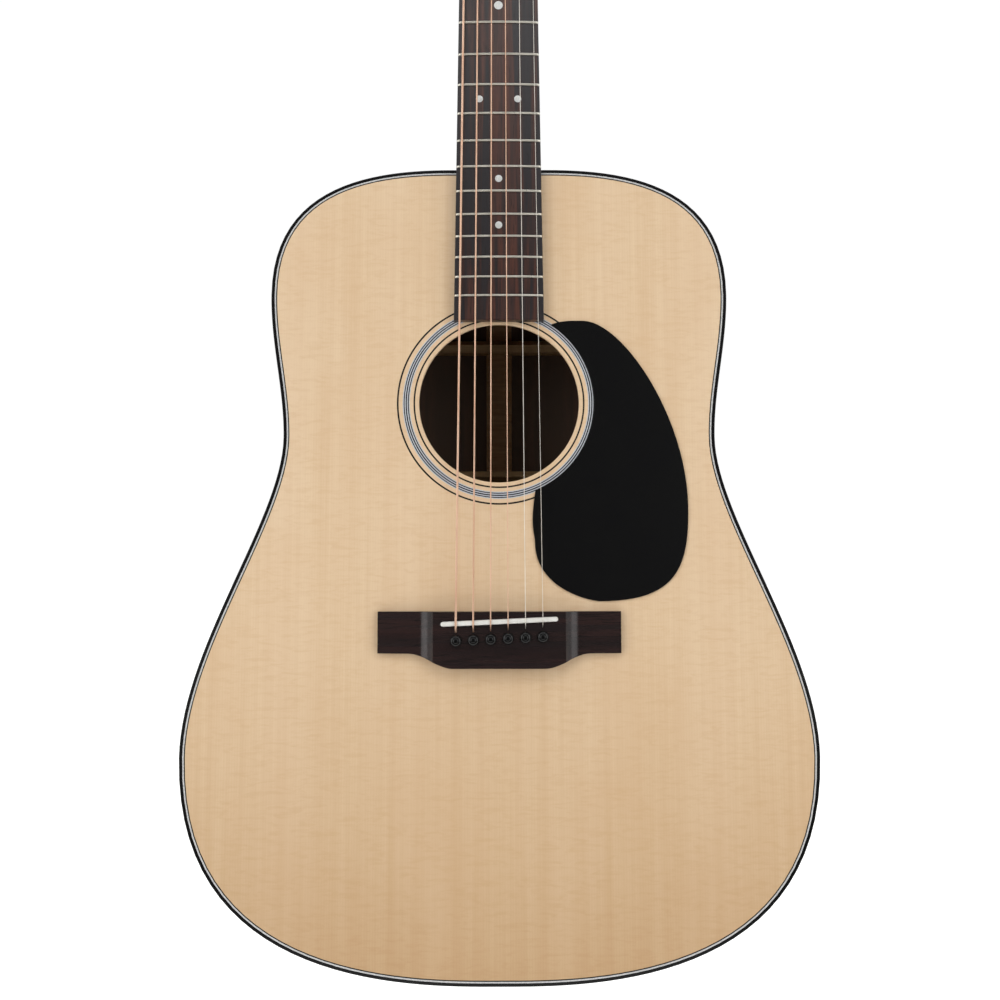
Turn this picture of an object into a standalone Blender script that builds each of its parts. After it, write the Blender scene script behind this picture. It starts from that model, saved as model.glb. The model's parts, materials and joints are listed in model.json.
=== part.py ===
"""A steel-string acoustic guitar with a dreadnought body, built as its separate pieces.

Metres, +Z up along the neck. The soundboard's face is the plane y = 0 and looks along -Y,
the back is towards +Y, and +X is the treble side. The origin lies at the nut, between the
arms of the wall hanger that holds the guitar under its head.
"""
import math

import bmesh
import bpy
from mathutils import Euler, Matrix, Vector

# Clearances
GAP = 0.0003                      # between pieces that touch
RUNNING = 0.0001                  # radial, round a turning shaft

# Scale and frets
SCALE_LENGTH = 0.6452             # nut to the nominal saddle line, 25.4 inches
FRET_COUNT = 20
BODY_FRET = 14                    # the fret over the end of the body
SADDLE_Z = -SCALE_LENGTH
CROSS_RADIUS = 0.406              # curvature across the fingerboard, the nut and the saddle

# Body
TAIL_Z = SADDLE_Z - 0.2230
DEPTH_AT_NECK = 0.100
DEPTH_AT_TAIL = 0.124
BACK_RADIUS = 4.57                # the arched back is part of a sphere, 15 feet in radius
TOP_THICKNESS = 0.0028
BACK_THICKNESS = 0.0024
RIB_THICKNESS = 0.0022
BINDING_HEIGHT = 0.006
PLATE_INSET = RIB_THICKNESS + GAP  # the plates end inside the bindings
LINING_WIDTH = 0.0055
LINING_HEIGHT = 0.014
BLOCK_HALF_WIDTH = 0.040
NECK_BLOCK_LENGTH = 0.045
TAIL_BLOCK_LENGTH = 0.020
BLOCK_SETBACK = RIB_THICKNESS + 0.0012  # a block's flat end, clear of the body's curved one
END_PIN_Y = 0.058
END_PIN_RADIUS = 0.0040
SPAN_STEPS = 8                    # points along each of the outline's four curves

# Braces
X_CROSSING_Z = SADDLE_Z + 0.046
X_LEG_ANGLE = math.radians(49)    # between each leg and the middle line
X_TOP_REACH = 0.128               # how far its legs go sideways, up and down
X_FOOT_REACH = 0.184
UPPER_BRACE_Z = SADDLE_Z + 0.212
# Across the back: (height above the saddle line, width, depth)
BACK_BRACES = ((0.195, 0.009, 0.015), (0.098, 0.009, 0.015),
               (-0.020, 0.017, 0.011), (-0.135, 0.017, 0.011))
STRIP_WIDTH = 0.019               # over the back's middle joint
STRIP_THICKNESS = 0.0015
BRIDGE_PLATE_THICKNESS = 0.0025

# Sound hole, pickguard, bridge
HOLE_RADIUS = 0.0508
HOLE_Z = SADDLE_Z + 0.1354
GUARD_THICKNESS = 0.0007
GUARD_RADIUS = 0.0605             # the pickguard's inner edge, round the sound hole
BRIDGE_HALF_WIDTH = 0.0756
BRIDGE_HEIGHT = 0.0085
BRIDGE_WING_HEIGHT = 0.0035
BRIDGE_TOP_Z = SADDLE_Z + 0.0038
BRIDGE_WING_Z = SADDLE_Z - 0.0221
BRIDGE_BELLY_Z = SADDLE_Z - 0.0310
SADDLE_LENGTH = 0.0726
SADDLE_THICKNESS = 0.0030
SADDLE_SLOT_FLOOR = -0.0042
SADDLE_COMPENSATION = 0.0022      # how far the saddle's middle sits behind the nominal line
SADDLE_TILT = math.radians(2.54)
PIN_SETBACK = 0.0105              # from the saddle to the line of the bridge pins
PIN_LENGTH = 0.027
PIN_HEAD_RADIUS = 0.0036
PIN_NECK_RADIUS = 0.00275
PIN_TIP_RADIUS = 0.0022
PIN_HOLE_RADIUS = 0.0029
STRING_IN_HOLE = 0.0019           # from a pin's axis to the string beside it

# Neck, fingerboard and head
NUT_WIDTH = 0.0445
NUT_LENGTH = 0.0055
FINGERBOARD_TAPER = 0.0277        # width gained per metre of length
FINGERBOARD_END = SADDLE_Z + 0.1875
FINGERBOARD_HEIGHT = 0.0065
FRET_HEIGHT = 0.0011
FRET_WIDTH = 0.0022
NECK_DEPTH = 0.0150
HEEL_DEPTH = 0.0970
HEEL_CAP_THICKNESS = 0.0027
HEEL_TOP_Z = -0.288               # where the neck's back starts to curve into the heel
HEEL_RIDGE_Z = -0.333             # where the curve has reached the heel's full depth
HEEL_CAP_HALF_WIDTH = 0.0125
TENON_HALF_WIDTH = 0.0127
TENON_LENGTH = 0.019
ROD_Y = 0.0088
ROD_RADIUS = 0.0022
ROD_NUT_RADIUS = 0.0040
HEAD_ANGLE = math.radians(14.5)
HEAD_THICKNESS = 0.0130
HEAD_PLATE_THICKNESS = 0.0024
HEAD_ORIGIN = Vector((0.0, 0.0020, NUT_LENGTH))

# Strings, treble to bass
STRING_DIAMETERS = (0.000305, 0.000406, 0.000610, 0.000813, 0.001067, 0.001372)
NUT_SPREAD = 0.0395
SADDLE_SPREAD = 0.0535
NUT_STRING_HEIGHT = 0.0081        # under the strings, on the centre line
SADDLE_STRING_HEIGHT = 0.0112
BALL_RADIUS = 0.0019
COIL_TURNS = 2
COIL_STEPS = 12

# Tuning machines: (row's height up the head, distance of its posts from the centre line)
TUNER_ROWS = ((0.040, 0.0215), (0.078, 0.0230), (0.116, 0.0242))
POST_RADIUS = 0.0030
POST_TOP = 0.0165
COIL_TOP = 0.0100
GEAR_TEETH = 15
GEAR_PITCH_RADIUS = 0.00455
GEAR_TOP = -0.0170
GEAR_THICKNESS = 0.0024
WORM_PITCH_RADIUS = 0.00265
WORM_CORE_RADIUS = 0.0020
WORM_DISTANCE = GEAR_PITCH_RADIUS + WORM_PITCH_RADIUS
WORM_DEPTH = GEAR_TOP - GEAR_THICKNESS / 2
THREAD_PITCH = 2 * math.pi * GEAR_PITCH_RADIUS / GEAR_TEETH
TOOTH_REACH = 0.00045             # a tooth's or thread's height above its pitch line
TOOTH_SLOPE = math.tan(math.radians(20))
SHAFT_RADIUS = 0.0016
EAR_INNER = 0.0052
EAR_THICKNESS = 0.0016

PARTS = "acoustic_guitar"
CUTTERS = "cutters"
FACE_ON = Euler((math.pi / 2, 0, 0))  # turns a flat outline's Y to +Z and its Z to -Y


# ---------------------------------------------------------------- scene and materials

def clear_scene():
    for old in list(bpy.data.objects):
        bpy.data.objects.remove(old, do_unlink=True)
    for name in (PARTS, CUTTERS):
        group = bpy.data.collections.new(name)
        bpy.context.scene.collection.children.link(group)


def finish(name, colour, roughness, metallic=0.0):
    """A Principled material, made once and shared by the pieces of one stuff."""
    found = bpy.data.materials.get(name)
    if found:
        return found
    made = bpy.data.materials.new(name)
    made.use_nodes = True
    shader = made.node_tree.nodes["Principled BSDF"]
    shader.inputs["Base Color"].default_value = (*colour, 1.0)
    shader.inputs["Roughness"].default_value = roughness
    shader.inputs["Metallic"].default_value = metallic
    return made


def spruce():
    return finish("spruce", (0.72, 0.50, 0.29), 0.30)


def brace_spruce():
    return finish("brace_spruce", (0.60, 0.44, 0.27), 0.65)


def rosewood():
    return finish("rosewood", (0.075, 0.035, 0.025), 0.22)


def fingerboard_rosewood():
    return finish("fingerboard_rosewood", (0.045, 0.026, 0.022), 0.42)


def bridge_rosewood():
    return finish("bridge_rosewood", (0.038, 0.020, 0.017), 0.40)


def mahogany():
    return finish("mahogany", (0.20, 0.075, 0.035), 0.34)


def maple():
    return finish("maple", (0.62, 0.46, 0.30), 0.60)


def black_binding():
    return finish("black_binding", (0.010, 0.010, 0.010), 0.22)


def pickguard_plastic():
    return finish("pickguard_plastic", (0.009, 0.009, 0.009), 0.14)


def pin_plastic():
    return finish("pin_plastic", (0.012, 0.012, 0.012), 0.25)


def bone():
    return finish("bone", (0.80, 0.77, 0.68), 0.38)


def bronze_string():
    return finish("bronze_string", (0.70, 0.40, 0.22), 0.30, 1.0)


def steel_string():
    return finish("steel_string", (0.66, 0.66, 0.67), 0.22, 1.0)


def nickel():
    return finish("nickel", (0.70, 0.69, 0.67), 0.20, 1.0)


def rod_steel():
    return finish("rod_steel", (0.40, 0.40, 0.41), 0.45, 1.0)


# ---------------------------------------------------------------- building blocks

def place(name, mesh, material, group=PARTS, location=(0, 0, 0), rotation=(0, 0, 0), parent=None):
    made = bpy.data.objects.new(name, mesh)
    made.location = location
    made.rotation_euler = rotation
    made.parent = parent
    bpy.data.collections[group].objects.link(made)
    if material:
        mesh.materials.clear()
        mesh.materials.append(material)
    if group == CUTTERS:
        made.hide_render = True
        made.display_type = "WIRE"
    return made


def mesh_from(shape, name):
    bmesh.ops.recalc_face_normals(shape, faces=shape.faces)
    mesh = bpy.data.meshes.new(name)
    shape.to_mesh(mesh)
    shape.free()
    return mesh


def add_loft(shape, sections, closed=False):
    """Skin a run of sections with equal point counts; an open run gets its two end faces."""
    rings = [[shape.verts.new(point) for point in section] for section in sections]
    count = len(rings[0])
    pairs = list(zip(rings, rings[1:]))
    if closed:
        pairs.append((rings[-1], rings[0]))
    else:
        shape.faces.new(rings[0])
        shape.faces.new(rings[-1])
    for near, far in pairs:
        for i in range(count):
            j = (i + 1) % count
            shape.faces.new((near[i], near[j], far[j], far[i]))


def loft(name, sections, closed=False):
    shape = bmesh.new()
    add_loft(shape, sections, closed)
    return mesh_from(shape, name)


def plate(name, loops, thickness):
    """A flat piece in the XY plane: the first loop is its edge and the others are holes."""
    outline = bpy.data.curves.new(name, "CURVE")
    outline.dimensions = "2D"
    outline.fill_mode = "BOTH"
    outline.extrude = thickness / 2
    for loop in loops:
        spline = outline.splines.new("POLY")
        spline.points.add(len(loop) - 1)
        for point, (x, y) in zip(spline.points, loop):
            point.co = (x, y, 0, 1)
        spline.use_cyclic_u = True
    return curve_to_mesh(name, outline)


def curve_to_mesh(name, curve):
    holder = bpy.data.objects.new(name + "_curve", curve)
    bpy.context.scene.collection.objects.link(holder)
    evaluated = holder.evaluated_get(bpy.context.evaluated_depsgraph_get())
    mesh = bpy.data.meshes.new_from_object(evaluated)
    bpy.data.objects.remove(holder, do_unlink=True)
    shape = bmesh.new()
    shape.from_mesh(mesh)
    bmesh.ops.remove_doubles(shape, verts=shape.verts, dist=0.00001)
    bpy.data.meshes.remove(mesh)
    return mesh_from(shape, name)


def cylinders(name, ends, radius, segments=16):
    """One mesh of straight round bars, each from its first point to its second."""
    shape = bmesh.new()
    for start, end in ends:
        axis = Vector(end) - Vector(start)
        turn = axis.to_track_quat("Z", "Y").to_matrix().to_4x4()
        middle = Matrix.Translation((Vector(start) + Vector(end)) / 2)
        bmesh.ops.create_cone(shape, cap_ends=True, segments=segments, radius1=radius,
                              radius2=radius, depth=axis.length, matrix=middle @ turn)
    return mesh_from(shape, name)


def boxes(name, corners):
    """One mesh of upright boxes, each given by its lowest and highest corners."""
    shape = bmesh.new()
    for low, high in corners:
        low, high = Vector(low), Vector(high)
        size = Matrix.Diagonal((*(high - low), 1))
        bmesh.ops.create_cube(shape, size=1, matrix=Matrix.Translation((low + high) / 2) @ size)
    return mesh_from(shape, name)


def turned(name, profile, segments):
    """A round piece about Z, from a profile of (radius, z) that runs from top to bottom."""
    outline = bpy.data.meshes.new(name)
    edges = [(i, i + 1) for i in range(len(profile) - 1)]
    outline.from_pydata([(radius, 0, z) for radius, z in profile], edges, [])
    holder = bpy.data.objects.new(name + "_profile", outline)
    bpy.context.scene.collection.objects.link(holder)
    screw = holder.modifiers.new("turn", "SCREW")
    screw.axis = "Z"
    screw.steps = segments
    screw.render_steps = segments
    screw.use_merge_vertices = True
    screw.merge_threshold = 0.00001
    evaluated = holder.evaluated_get(bpy.context.evaluated_depsgraph_get())
    mesh = bpy.data.meshes.new_from_object(evaluated)
    bpy.data.objects.remove(holder, do_unlink=True)
    shape = bmesh.new()
    shape.from_mesh(mesh)
    bpy.data.meshes.remove(mesh)
    return mesh_from(shape, name)


def tool(name, mesh, location=(0, 0, 0), rotation=(0, 0, 0), parent=None):
    """A cutter, or a shape that another piece is joined with."""
    return place(name, mesh, None, CUTTERS, location, rotation, parent)


def combine(target, other, operation):
    step = target.modifiers.new(other.name, "BOOLEAN")
    step.operation = operation
    step.object = other


def cut(target, other):
    combine(target, other, "DIFFERENCE")


def join(target, other):
    combine(target, other, "UNION")


# ---------------------------------------------------------------- curves and outlines

def knot_path(knots, steps):
    """Sample cubic curves through knots of (x, y, heading in degrees, reach in, reach out).

    Returns (point, direction) pairs, the last knot included.
    """
    samples = []
    for start, end in zip(knots, knots[1:]):
        p0, p3 = Vector(start[:2]), Vector(end[:2])
        p1 = p0 + heading(start[2]) * start[4]
        p2 = p3 - heading(end[2]) * end[3]
        for step in range(steps + 1):
            t = step / steps
            s = 1 - t
            point = s ** 3 * p0 + 3 * s * s * t * p1 + 3 * s * t * t * p2 + t ** 3 * p3
            slope = s * s * (p1 - p0) + 2 * s * t * (p2 - p1) + t * t * (p3 - p2)
            samples.append((point, slope.normalized()))
        samples.pop()
    samples.append((Vector(knots[-1][:2]), heading(knots[-1][2])))
    return samples


def heading(degrees):
    return Vector((math.cos(math.radians(degrees)), math.sin(math.radians(degrees))))


def circle(centre, radius, steps, start=0.0, sweep=360.0):
    """Points round an arc; a whole circle doesn't repeat its first point."""
    last = steps if sweep < 360 else steps - 1
    return [Vector(centre) + radius * heading(start + sweep * i / steps) for i in range(last + 1)]


def fret_z(number):
    """A fret's height: each one leaves the twelfth root of 1/2 of the string."""
    return -SCALE_LENGTH * (1 - 2 ** (-number / 12))


NECK_END_Z = fret_z(BODY_FRET)
BODY_MIDDLE_Z = (TAIL_Z + NECK_END_Z) / 2
NECK_FACE_Z = NECK_END_Z + 3 * GAP  # the heel's face, clear of the body's slightly hollow end

# Half the body's outline, from the tail round the bouts and the waist to the neck
BODY_KNOTS = (
    (0.0, TAIL_Z, 0, 0.0, 0.0500),
    (0.1983, SADDLE_Z - 0.0859, 90, 0.1400, 0.0677),
    (0.1367, SADDLE_Z + 0.1134, 90, 0.0512, 0.0307),
    (0.1459, SADDLE_Z + 0.2056, 90, 0.0319, 0.0935),
    (0.0, NECK_END_Z, 180, 0.0401, 0.0),
)
# The pickguard's free edge, from beside the fingerboard to below the sound hole
GUARD_KNOTS = (
    (0.0332, SADDLE_Z + 0.1857, 24, 0.0, 0.0070),
    (0.0535, SADDLE_Z + 0.1882, 0, 0.0070, 0.0249),
    (0.1190, SADDLE_Z + 0.0689, -90, 0.0579, 0.0375),
    (0.0631, SADDLE_Z + 0.0099, 180, 0.0485, 0.0054),
    (0.0224, SADDLE_Z + 0.0472, 90, 0.0303, 0.0052),
    (0.0228, SADDLE_Z + 0.0792, 81, 0.0240, 0.0),
)
# Half the head's outline in its own plane, from the nut to the middle of its top edge
HEAD_KNOTS = (
    (0.02225, -0.0040, 90, 0.0, 0.0080),
    (0.0300, 0.0260, 78, 0.0100, 0.0300),
    (0.0365, 0.1500, 90, 0.0300, 0.0110),
    (0.0, 0.1680, 180, 0.0240, 0.0),
)


def body_half(tail_x=0.0, neck_x=0.0):
    """Half the outline as (point, inward normal), cut off at these distances from the middle."""
    path = [(point, Vector((-way.y, way.x))) for point, way in knot_path(BODY_KNOTS, SPAN_STEPS)]
    path = from_x(path, tail_x)
    return from_x(path[::-1], neck_x)[::-1]


def from_x(path, limit):
    """The path from where it first reaches x = limit."""
    for i, (near, far) in enumerate(zip(path, path[1:])):
        if far[0].x > limit:
            t = max(0.0, (limit - near[0].x) / (far[0].x - near[0].x))
            start = (near[0].lerp(far[0], t), near[1].lerp(far[1], t))
            return [start] + path[i + 1:]
    return path


def inset(path, distance):
    return [point + normal * distance for point, normal in path]


def both_sides(half):
    """A closed loop from one half's points, which start and end on the middle line."""
    return list(half) + [Vector((-point.x, point.y)) for point in half[-2:0:-1]]


def body_loop(distance):
    return both_sides(inset(body_half(), distance))


def half_width(z, distance):
    """How far the body's outline, moved in by a distance, is from the middle at a height."""
    path = inset(body_half(), distance)
    for near, far in zip(path, path[1:]):
        if near.y <= z <= far.y:
            return near.x + (far.x - near.x) * (z - near.y) / (far.y - near.y)
    return 0.0


def back_y(x, z):
    """The arched back's outer surface."""
    along = z - BODY_MIDDLE_Z
    length = NECK_END_Z - TAIL_Z
    middle = (DEPTH_AT_NECK + DEPTH_AT_TAIL) / 2 + (length / 2) ** 2 / (2 * BACK_RADIUS)
    taper = (DEPTH_AT_TAIL - DEPTH_AT_NECK) / length
    return middle - taper * along - (x * x + along * along) / (2 * BACK_RADIUS)


def back_inside(x, z):
    return back_y(x, z) - BACK_THICKNESS


def crown(x):
    """How far the curved fingerboard, nut and saddle drop away at a distance from the middle."""
    return x * x / (2 * CROSS_RADIUS)


def string_x(number, spread):
    return spread / 2 - number * spread / (len(STRING_DIAMETERS) - 1)


def saddle_z(x):
    return SADDLE_Z - SADDLE_COMPENSATION + x * math.tan(SADDLE_TILT)


def pin_places():
    places = []
    for number in range(len(STRING_DIAMETERS)):
        x = string_x(number, SADDLE_SPREAD)
        places.append((x, saddle_z(x) - PIN_SETBACK))
    return places


def tuner_places():
    """(string number, side, row) of the six machines; side is +1 on the treble side."""
    places = []
    for row in range(len(TUNER_ROWS)):
        places.append((row, 1, row))
        places.append((5 - row, -1, row))
    return sorted(places)


# ---------------------------------------------------------------- the sound box

def wall(name, material, path, outer, inner, front, back, side=1, closed=False):
    """A strip that follows the outline between two insets and between two surfaces in y."""
    sections = []
    for (edge, _), a, b in zip(path, inset(path, outer), inset(path, inner)):
        sections.append([
            (side * a.x, front(edge.x, edge.y), a.y),
            (side * a.x, back(edge.x, edge.y), a.y),
            (side * b.x, back(edge.x, edge.y), b.y),
            (side * b.x, front(edge.x, edge.y), b.y),
        ])
    if closed:
        mirrored = [[(-x, y, z) for x, y, z in section] for section in sections[-2:0:-1]]
        sections += mirrored
    return place(name, loft(name, sections, closed), material)


def make_soundboard(pin_holes):
    hole = circle((0, HOLE_Z), HOLE_RADIUS, 36)
    mesh = plate("soundboard", [body_loop(PLATE_INSET), hole], TOP_THICKNESS)
    board = place("soundboard", mesh, spruce(), location=(0, TOP_THICKNESS / 2, 0), rotation=FACE_ON)
    cut(board, pin_holes)


def make_back():
    """The arched back: rings of the outline's shape on both of its curved faces."""
    edge = body_loop(PLATE_INSET)
    sections = []
    for surface, scales in ((back_inside, (0.12, 0.42, 0.72, 1.0)), (back_y, (1.0, 0.6, 0.15))):
        for scale in scales:
            ring = []
            for point in edge:
                x, z = point.x * scale, BODY_MIDDLE_Z + (point.y - BODY_MIDDLE_Z) * scale
                ring.append((x, surface(x, z), z))
            sections.append(ring)
    place("back", loft("back", sections), rosewood())


def make_ribs(pin_hole):
    path = body_half(tail_x=GAP / 2, neck_x=TENON_HALF_WIDTH + 2 * GAP)
    for name, side in (("rib_treble", 1), ("rib_bass", -1)):
        rib = wall(name, rosewood(), path, 0.0, RIB_THICKNESS, lambda x, z: BINDING_HEIGHT + GAP,
                   lambda x, z: back_y(x, z) - BINDING_HEIGHT - GAP, side)
        cut(rib, pin_hole)


def make_bindings():
    path = body_half()
    wall("top_binding", black_binding(), path, 0.0, RIB_THICKNESS,
         lambda x, z: 0.0, lambda x, z: BINDING_HEIGHT, closed=True)
    wall("back_binding", black_binding(), path, 0.0, RIB_THICKNESS,
         lambda x, z: back_y(x, z) - BINDING_HEIGHT, back_y, closed=True)


def make_linings():
    """Triangular strips that widen the ribs' edges, where the plates are glued."""
    path = body_half(tail_x=BLOCK_HALF_WIDTH + 3 * GAP, neck_x=BLOCK_HALF_WIDTH + 3 * GAP)
    outer = inset(path, RIB_THICKNESS + 2 * GAP)
    inner = inset(path, RIB_THICKNESS + LINING_WIDTH)
    for side, hand in ((1, "treble"), (-1, "bass")):
        front, back = [], []
        for a, b in zip(outer, inner):
            glue = TOP_THICKNESS + GAP
            front.append([(side * a.x, glue, a.y), (side * a.x, glue + LINING_HEIGHT, a.y),
                          (side * b.x, glue, b.y)])
            near = back_inside(b.x, b.y) - 2 * GAP
            back.append([(side * a.x, near, a.y), (side * a.x, near - LINING_HEIGHT, a.y),
                         (side * b.x, near, b.y)])
        for name, sections in (("top_lining_" + hand, front), ("back_lining_" + hand, back)):
            place(name, loft(name, sections), maple())


def make_block(name, low_z, high_z):
    """An end block that fills the depth between the soundboard and the back."""
    glue = TOP_THICKNESS + GAP
    sections = []
    for z in (low_z, high_z):
        deep = back_inside(BLOCK_HALF_WIDTH, z) - GAP
        sections.append([(-BLOCK_HALF_WIDTH, glue, z), (BLOCK_HALF_WIDTH, glue, z),
                         (BLOCK_HALF_WIDTH, deep, z), (-BLOCK_HALF_WIDTH, deep, z)])
    return place(name, loft(name, sections), mahogany())


def make_neck_block():
    top = NECK_END_Z - BLOCK_SETBACK
    block = make_block("neck_block", top - NECK_BLOCK_LENGTH, top)
    half = TENON_HALF_WIDTH + GAP
    mortise = ((-half, BINDING_HEIGHT, NECK_END_Z - TENON_LENGTH - GAP),
               (half, HEEL_DEPTH - 0.008, NECK_END_Z + 0.01))
    cut(block, tool("mortise", boxes("mortise", [mortise])))
    bore = (0, ROD_Y, top - NECK_BLOCK_LENGTH - 0.01), (0, ROD_Y, top + 0.01)
    cut(block, tool("rod_bore", cylinders("rod_bore", [bore], ROD_NUT_RADIUS + RUNNING)))


def make_tail_block(pin_hole):
    bottom = TAIL_Z + BLOCK_SETBACK
    block = make_block("tail_block", bottom, bottom + TAIL_BLOCK_LENGTH)
    cut(block, pin_hole)


# ---------------------------------------------------------------- braces

def brace_mesh(name, start, end, width, height, base, rise, ends=0.25, stations=9):
    """A bar along a plate from one (x, z) to another, ridged on top and thinner at its ends.

    base(x, z) is the y of the glued face, and rise is +1 into the box from the soundboard
    and -1 from the back.
    """
    start, end = Vector(start), Vector(end)
    across = Vector((start.y - end.y, end.x - start.x)).normalized() * width / 2
    sections = []
    for step in range(stations):
        t = step / (stations - 1)
        taper = min(1.0, min(t, 1 - t) / 0.16)
        tall = height * (ends + (1 - ends) * taper * (2 - taper))
        middle = start.lerp(end, t)
        ring = []
        for side, up in ((-1, 0.0), (-1, 0.55), (0, 1.0), (1, 0.55), (1, 0.0)):
            x, z = middle + across * side
            ring.append((x, base(x, z) + rise * tall * up, z))
        sections.append(ring)
    return loft(name, sections)


def brace_reach(z, width):
    """Half the length of a cross bar that just clears the linings on both of its edges."""
    clear = RIB_THICKNESS + LINING_WIDTH + 2 * GAP
    return min(half_width(z - width / 2, clear), half_width(z + width / 2, clear))


def under_top(x, z):
    return TOP_THICKNESS + GAP


def on_back(x, z):
    return back_inside(x, z) - GAP


def make_x_brace():
    """The two crossed main braces, half-lapped into one piece below the sound hole."""
    slope = 1 / math.tan(X_LEG_ANGLE)
    legs = []
    for side in (1, -1):
        top = (side * X_TOP_REACH, X_CROSSING_Z + X_TOP_REACH * slope)
        foot = (-side * X_FOOT_REACH, X_CROSSING_Z - X_FOOT_REACH * slope)
        name = "x_leg_treble" if side > 0 else "x_leg_bass"
        legs.append(brace_mesh(name, foot, top, 0.008, 0.014, under_top, 1))
    brace = place("x_brace", legs[0], brace_spruce())
    join(brace, tool("x_leg_bass", legs[1]))


def make_upper_brace():
    """A tall bar above the sound hole, bored for the truss rod's wrench."""
    z = UPPER_BRACE_Z
    width, height = 0.012, 0.018
    reach = brace_reach(z, width)
    mesh = brace_mesh("upper_transverse_brace", (-reach, z), (reach, z), width, height, under_top, 1)
    brace = place("upper_transverse_brace", mesh, brace_spruce())
    way = (0, ROD_Y, z - 0.02), (0, ROD_Y, z + 0.02)
    cut(brace, tool("wrench_way", cylinders("wrench_way", [way], 0.0048)))


def make_bridge_plate(pin_holes):
    """A maple plate between the lower legs of the X, under the bridge."""
    top, bottom = BRIDGE_TOP_Z + 0.001, BRIDGE_BELLY_Z - 0.003
    loop = [(-0.039, top), (0.039, top), (0.081, bottom), (-0.081, bottom)]
    mesh = plate("bridge_plate", [loop], BRIDGE_PLATE_THICKNESS)
    y = TOP_THICKNESS + GAP + BRIDGE_PLATE_THICKNESS / 2
    made = place("bridge_plate", mesh, maple(), location=(0, y, 0), rotation=FACE_ON)
    cut(made, pin_holes)


def make_back_braces():
    """Four bars across the back, each notched over the strip on its middle joint."""
    half = STRIP_WIDTH / 2 + GAP
    for number, (offset, width, height) in enumerate(BACK_BRACES, start=1):
        z = SADDLE_Z + offset
        reach = brace_reach(z, width)
        name = "back_brace_%d" % number
        mesh = brace_mesh(name, (-reach, z), (reach, z), width, height, on_back, -1, ends=0.35)
        brace = place(name, mesh, brace_spruce())
        deep = back_inside(0, z)
        notch = (-half, deep - STRIP_THICKNESS - 3 * GAP, z - 0.02), (half, deep + 0.01, z + 0.02)
        cut(brace, tool(name + "_notch", boxes(name, [notch])))


def make_centre_strip():
    """The strip over the back's middle joint, between the two blocks."""
    low = TAIL_Z + BLOCK_SETBACK + TAIL_BLOCK_LENGTH + 3 * GAP
    high = NECK_END_Z - BLOCK_SETBACK - NECK_BLOCK_LENGTH - 3 * GAP
    wide, narrow = STRIP_WIDTH / 2, STRIP_WIDTH * 0.36
    sections = []
    for step in range(9):
        z = low + (high - low) * step / 8
        y = back_inside(0, z) - GAP
        ridge = y - STRIP_THICKNESS
        sections.append([(-wide, y, z), (wide, y, z), (narrow, ridge, z), (-narrow, ridge, z)])
    place("back_centre_strip", loft("back_centre_strip", sections), brace_spruce())


# ---------------------------------------------------------------- neck, fingerboard and head

def board_half_width(z):
    return NUT_WIDTH / 2 - FINGERBOARD_TAPER * z / 2


def heel_blend(z):
    """0 along the neck, rising as a quarter ellipse to 1 at the body."""
    reach = (NECK_FACE_Z - z) / (NECK_FACE_Z - HEEL_RIDGE_Z - 0.005)
    return math.sqrt(max(0.0, 1 - reach * reach))


def neck_depth(z):
    """The neck's back: it thickens slowly, then curves down into the heel."""
    plain = NECK_DEPTH - 0.010 * z
    t = min(1.0, max(0.0, (HEEL_TOP_Z - z) / (HEEL_TOP_Z - HEEL_RIDGE_Z)))
    return plain + (HEEL_DEPTH - plain) * (1 - math.sqrt(1 - t * t))


def neck_section(z, half, front, depth):
    """A half round below a flat front; at the heel, sides that narrow towards its cap."""
    blend = heel_blend(z)
    ring = []
    for step in range(13):
        angle = math.pi * step / 12
        down = math.sin(angle)
        straight = math.copysign(1 - 0.55 * down, math.cos(angle))
        if step == 6:
            straight = 0.0
        x = half * ((1 - blend) * math.cos(angle) + blend * straight)
        ring.append((x, front + (depth - front) * down, z))
    return ring


def neck_mesh():
    sections = []
    # a pointed volute carries the neck's back into the head's
    for z, half, front, depth in ((0.036, 0.0050, 0.0120, 0.0236), (0.024, 0.0120, 0.0090, 0.0226),
                                  (0.012, 0.0190, 0.0050, 0.0190),
                                  (NUT_LENGTH + RUNNING, 0.0215, 0.0030, 0.0162)):
        sections.append(neck_section(z, half, front, depth))
    heights = [NUT_LENGTH, 0.0, HEEL_TOP_Z]
    heights += [HEEL_TOP_Z + (HEEL_RIDGE_Z - HEEL_TOP_Z) * f for f in (0.3, 0.55, 0.75, 0.88, 0.96, 1.0)]
    heights += [HEEL_RIDGE_Z + (NECK_FACE_Z - HEEL_RIDGE_Z) * f for f in (0.25, 0.55, 1.0)]
    for z in heights:
        sections.append(neck_section(z, board_half_width(z), 0.0, neck_depth(z)))
    return loft("neck", sections)


def head_loop(bottom):
    """The head's outline, cut off level at its bottom."""
    half = [point for point, _ in knot_path(HEAD_KNOTS, 6)]
    half = [Vector((half[0].x, bottom))] + [point for point in half if point.y > bottom + 0.001]
    return half + [Vector((-point.x, point.y)) for point in half[-2::-1]]


def make_head_frame():
    """An empty in the plane of the head's wooden front face, at the nut."""
    frame = bpy.data.objects.new("head_frame", None)
    frame.location = HEAD_ORIGIN
    frame.rotation_euler = (math.pi / 2 - HEAD_ANGLE, 0, 0)
    bpy.data.collections[PARTS].objects.link(frame)
    return frame


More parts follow.
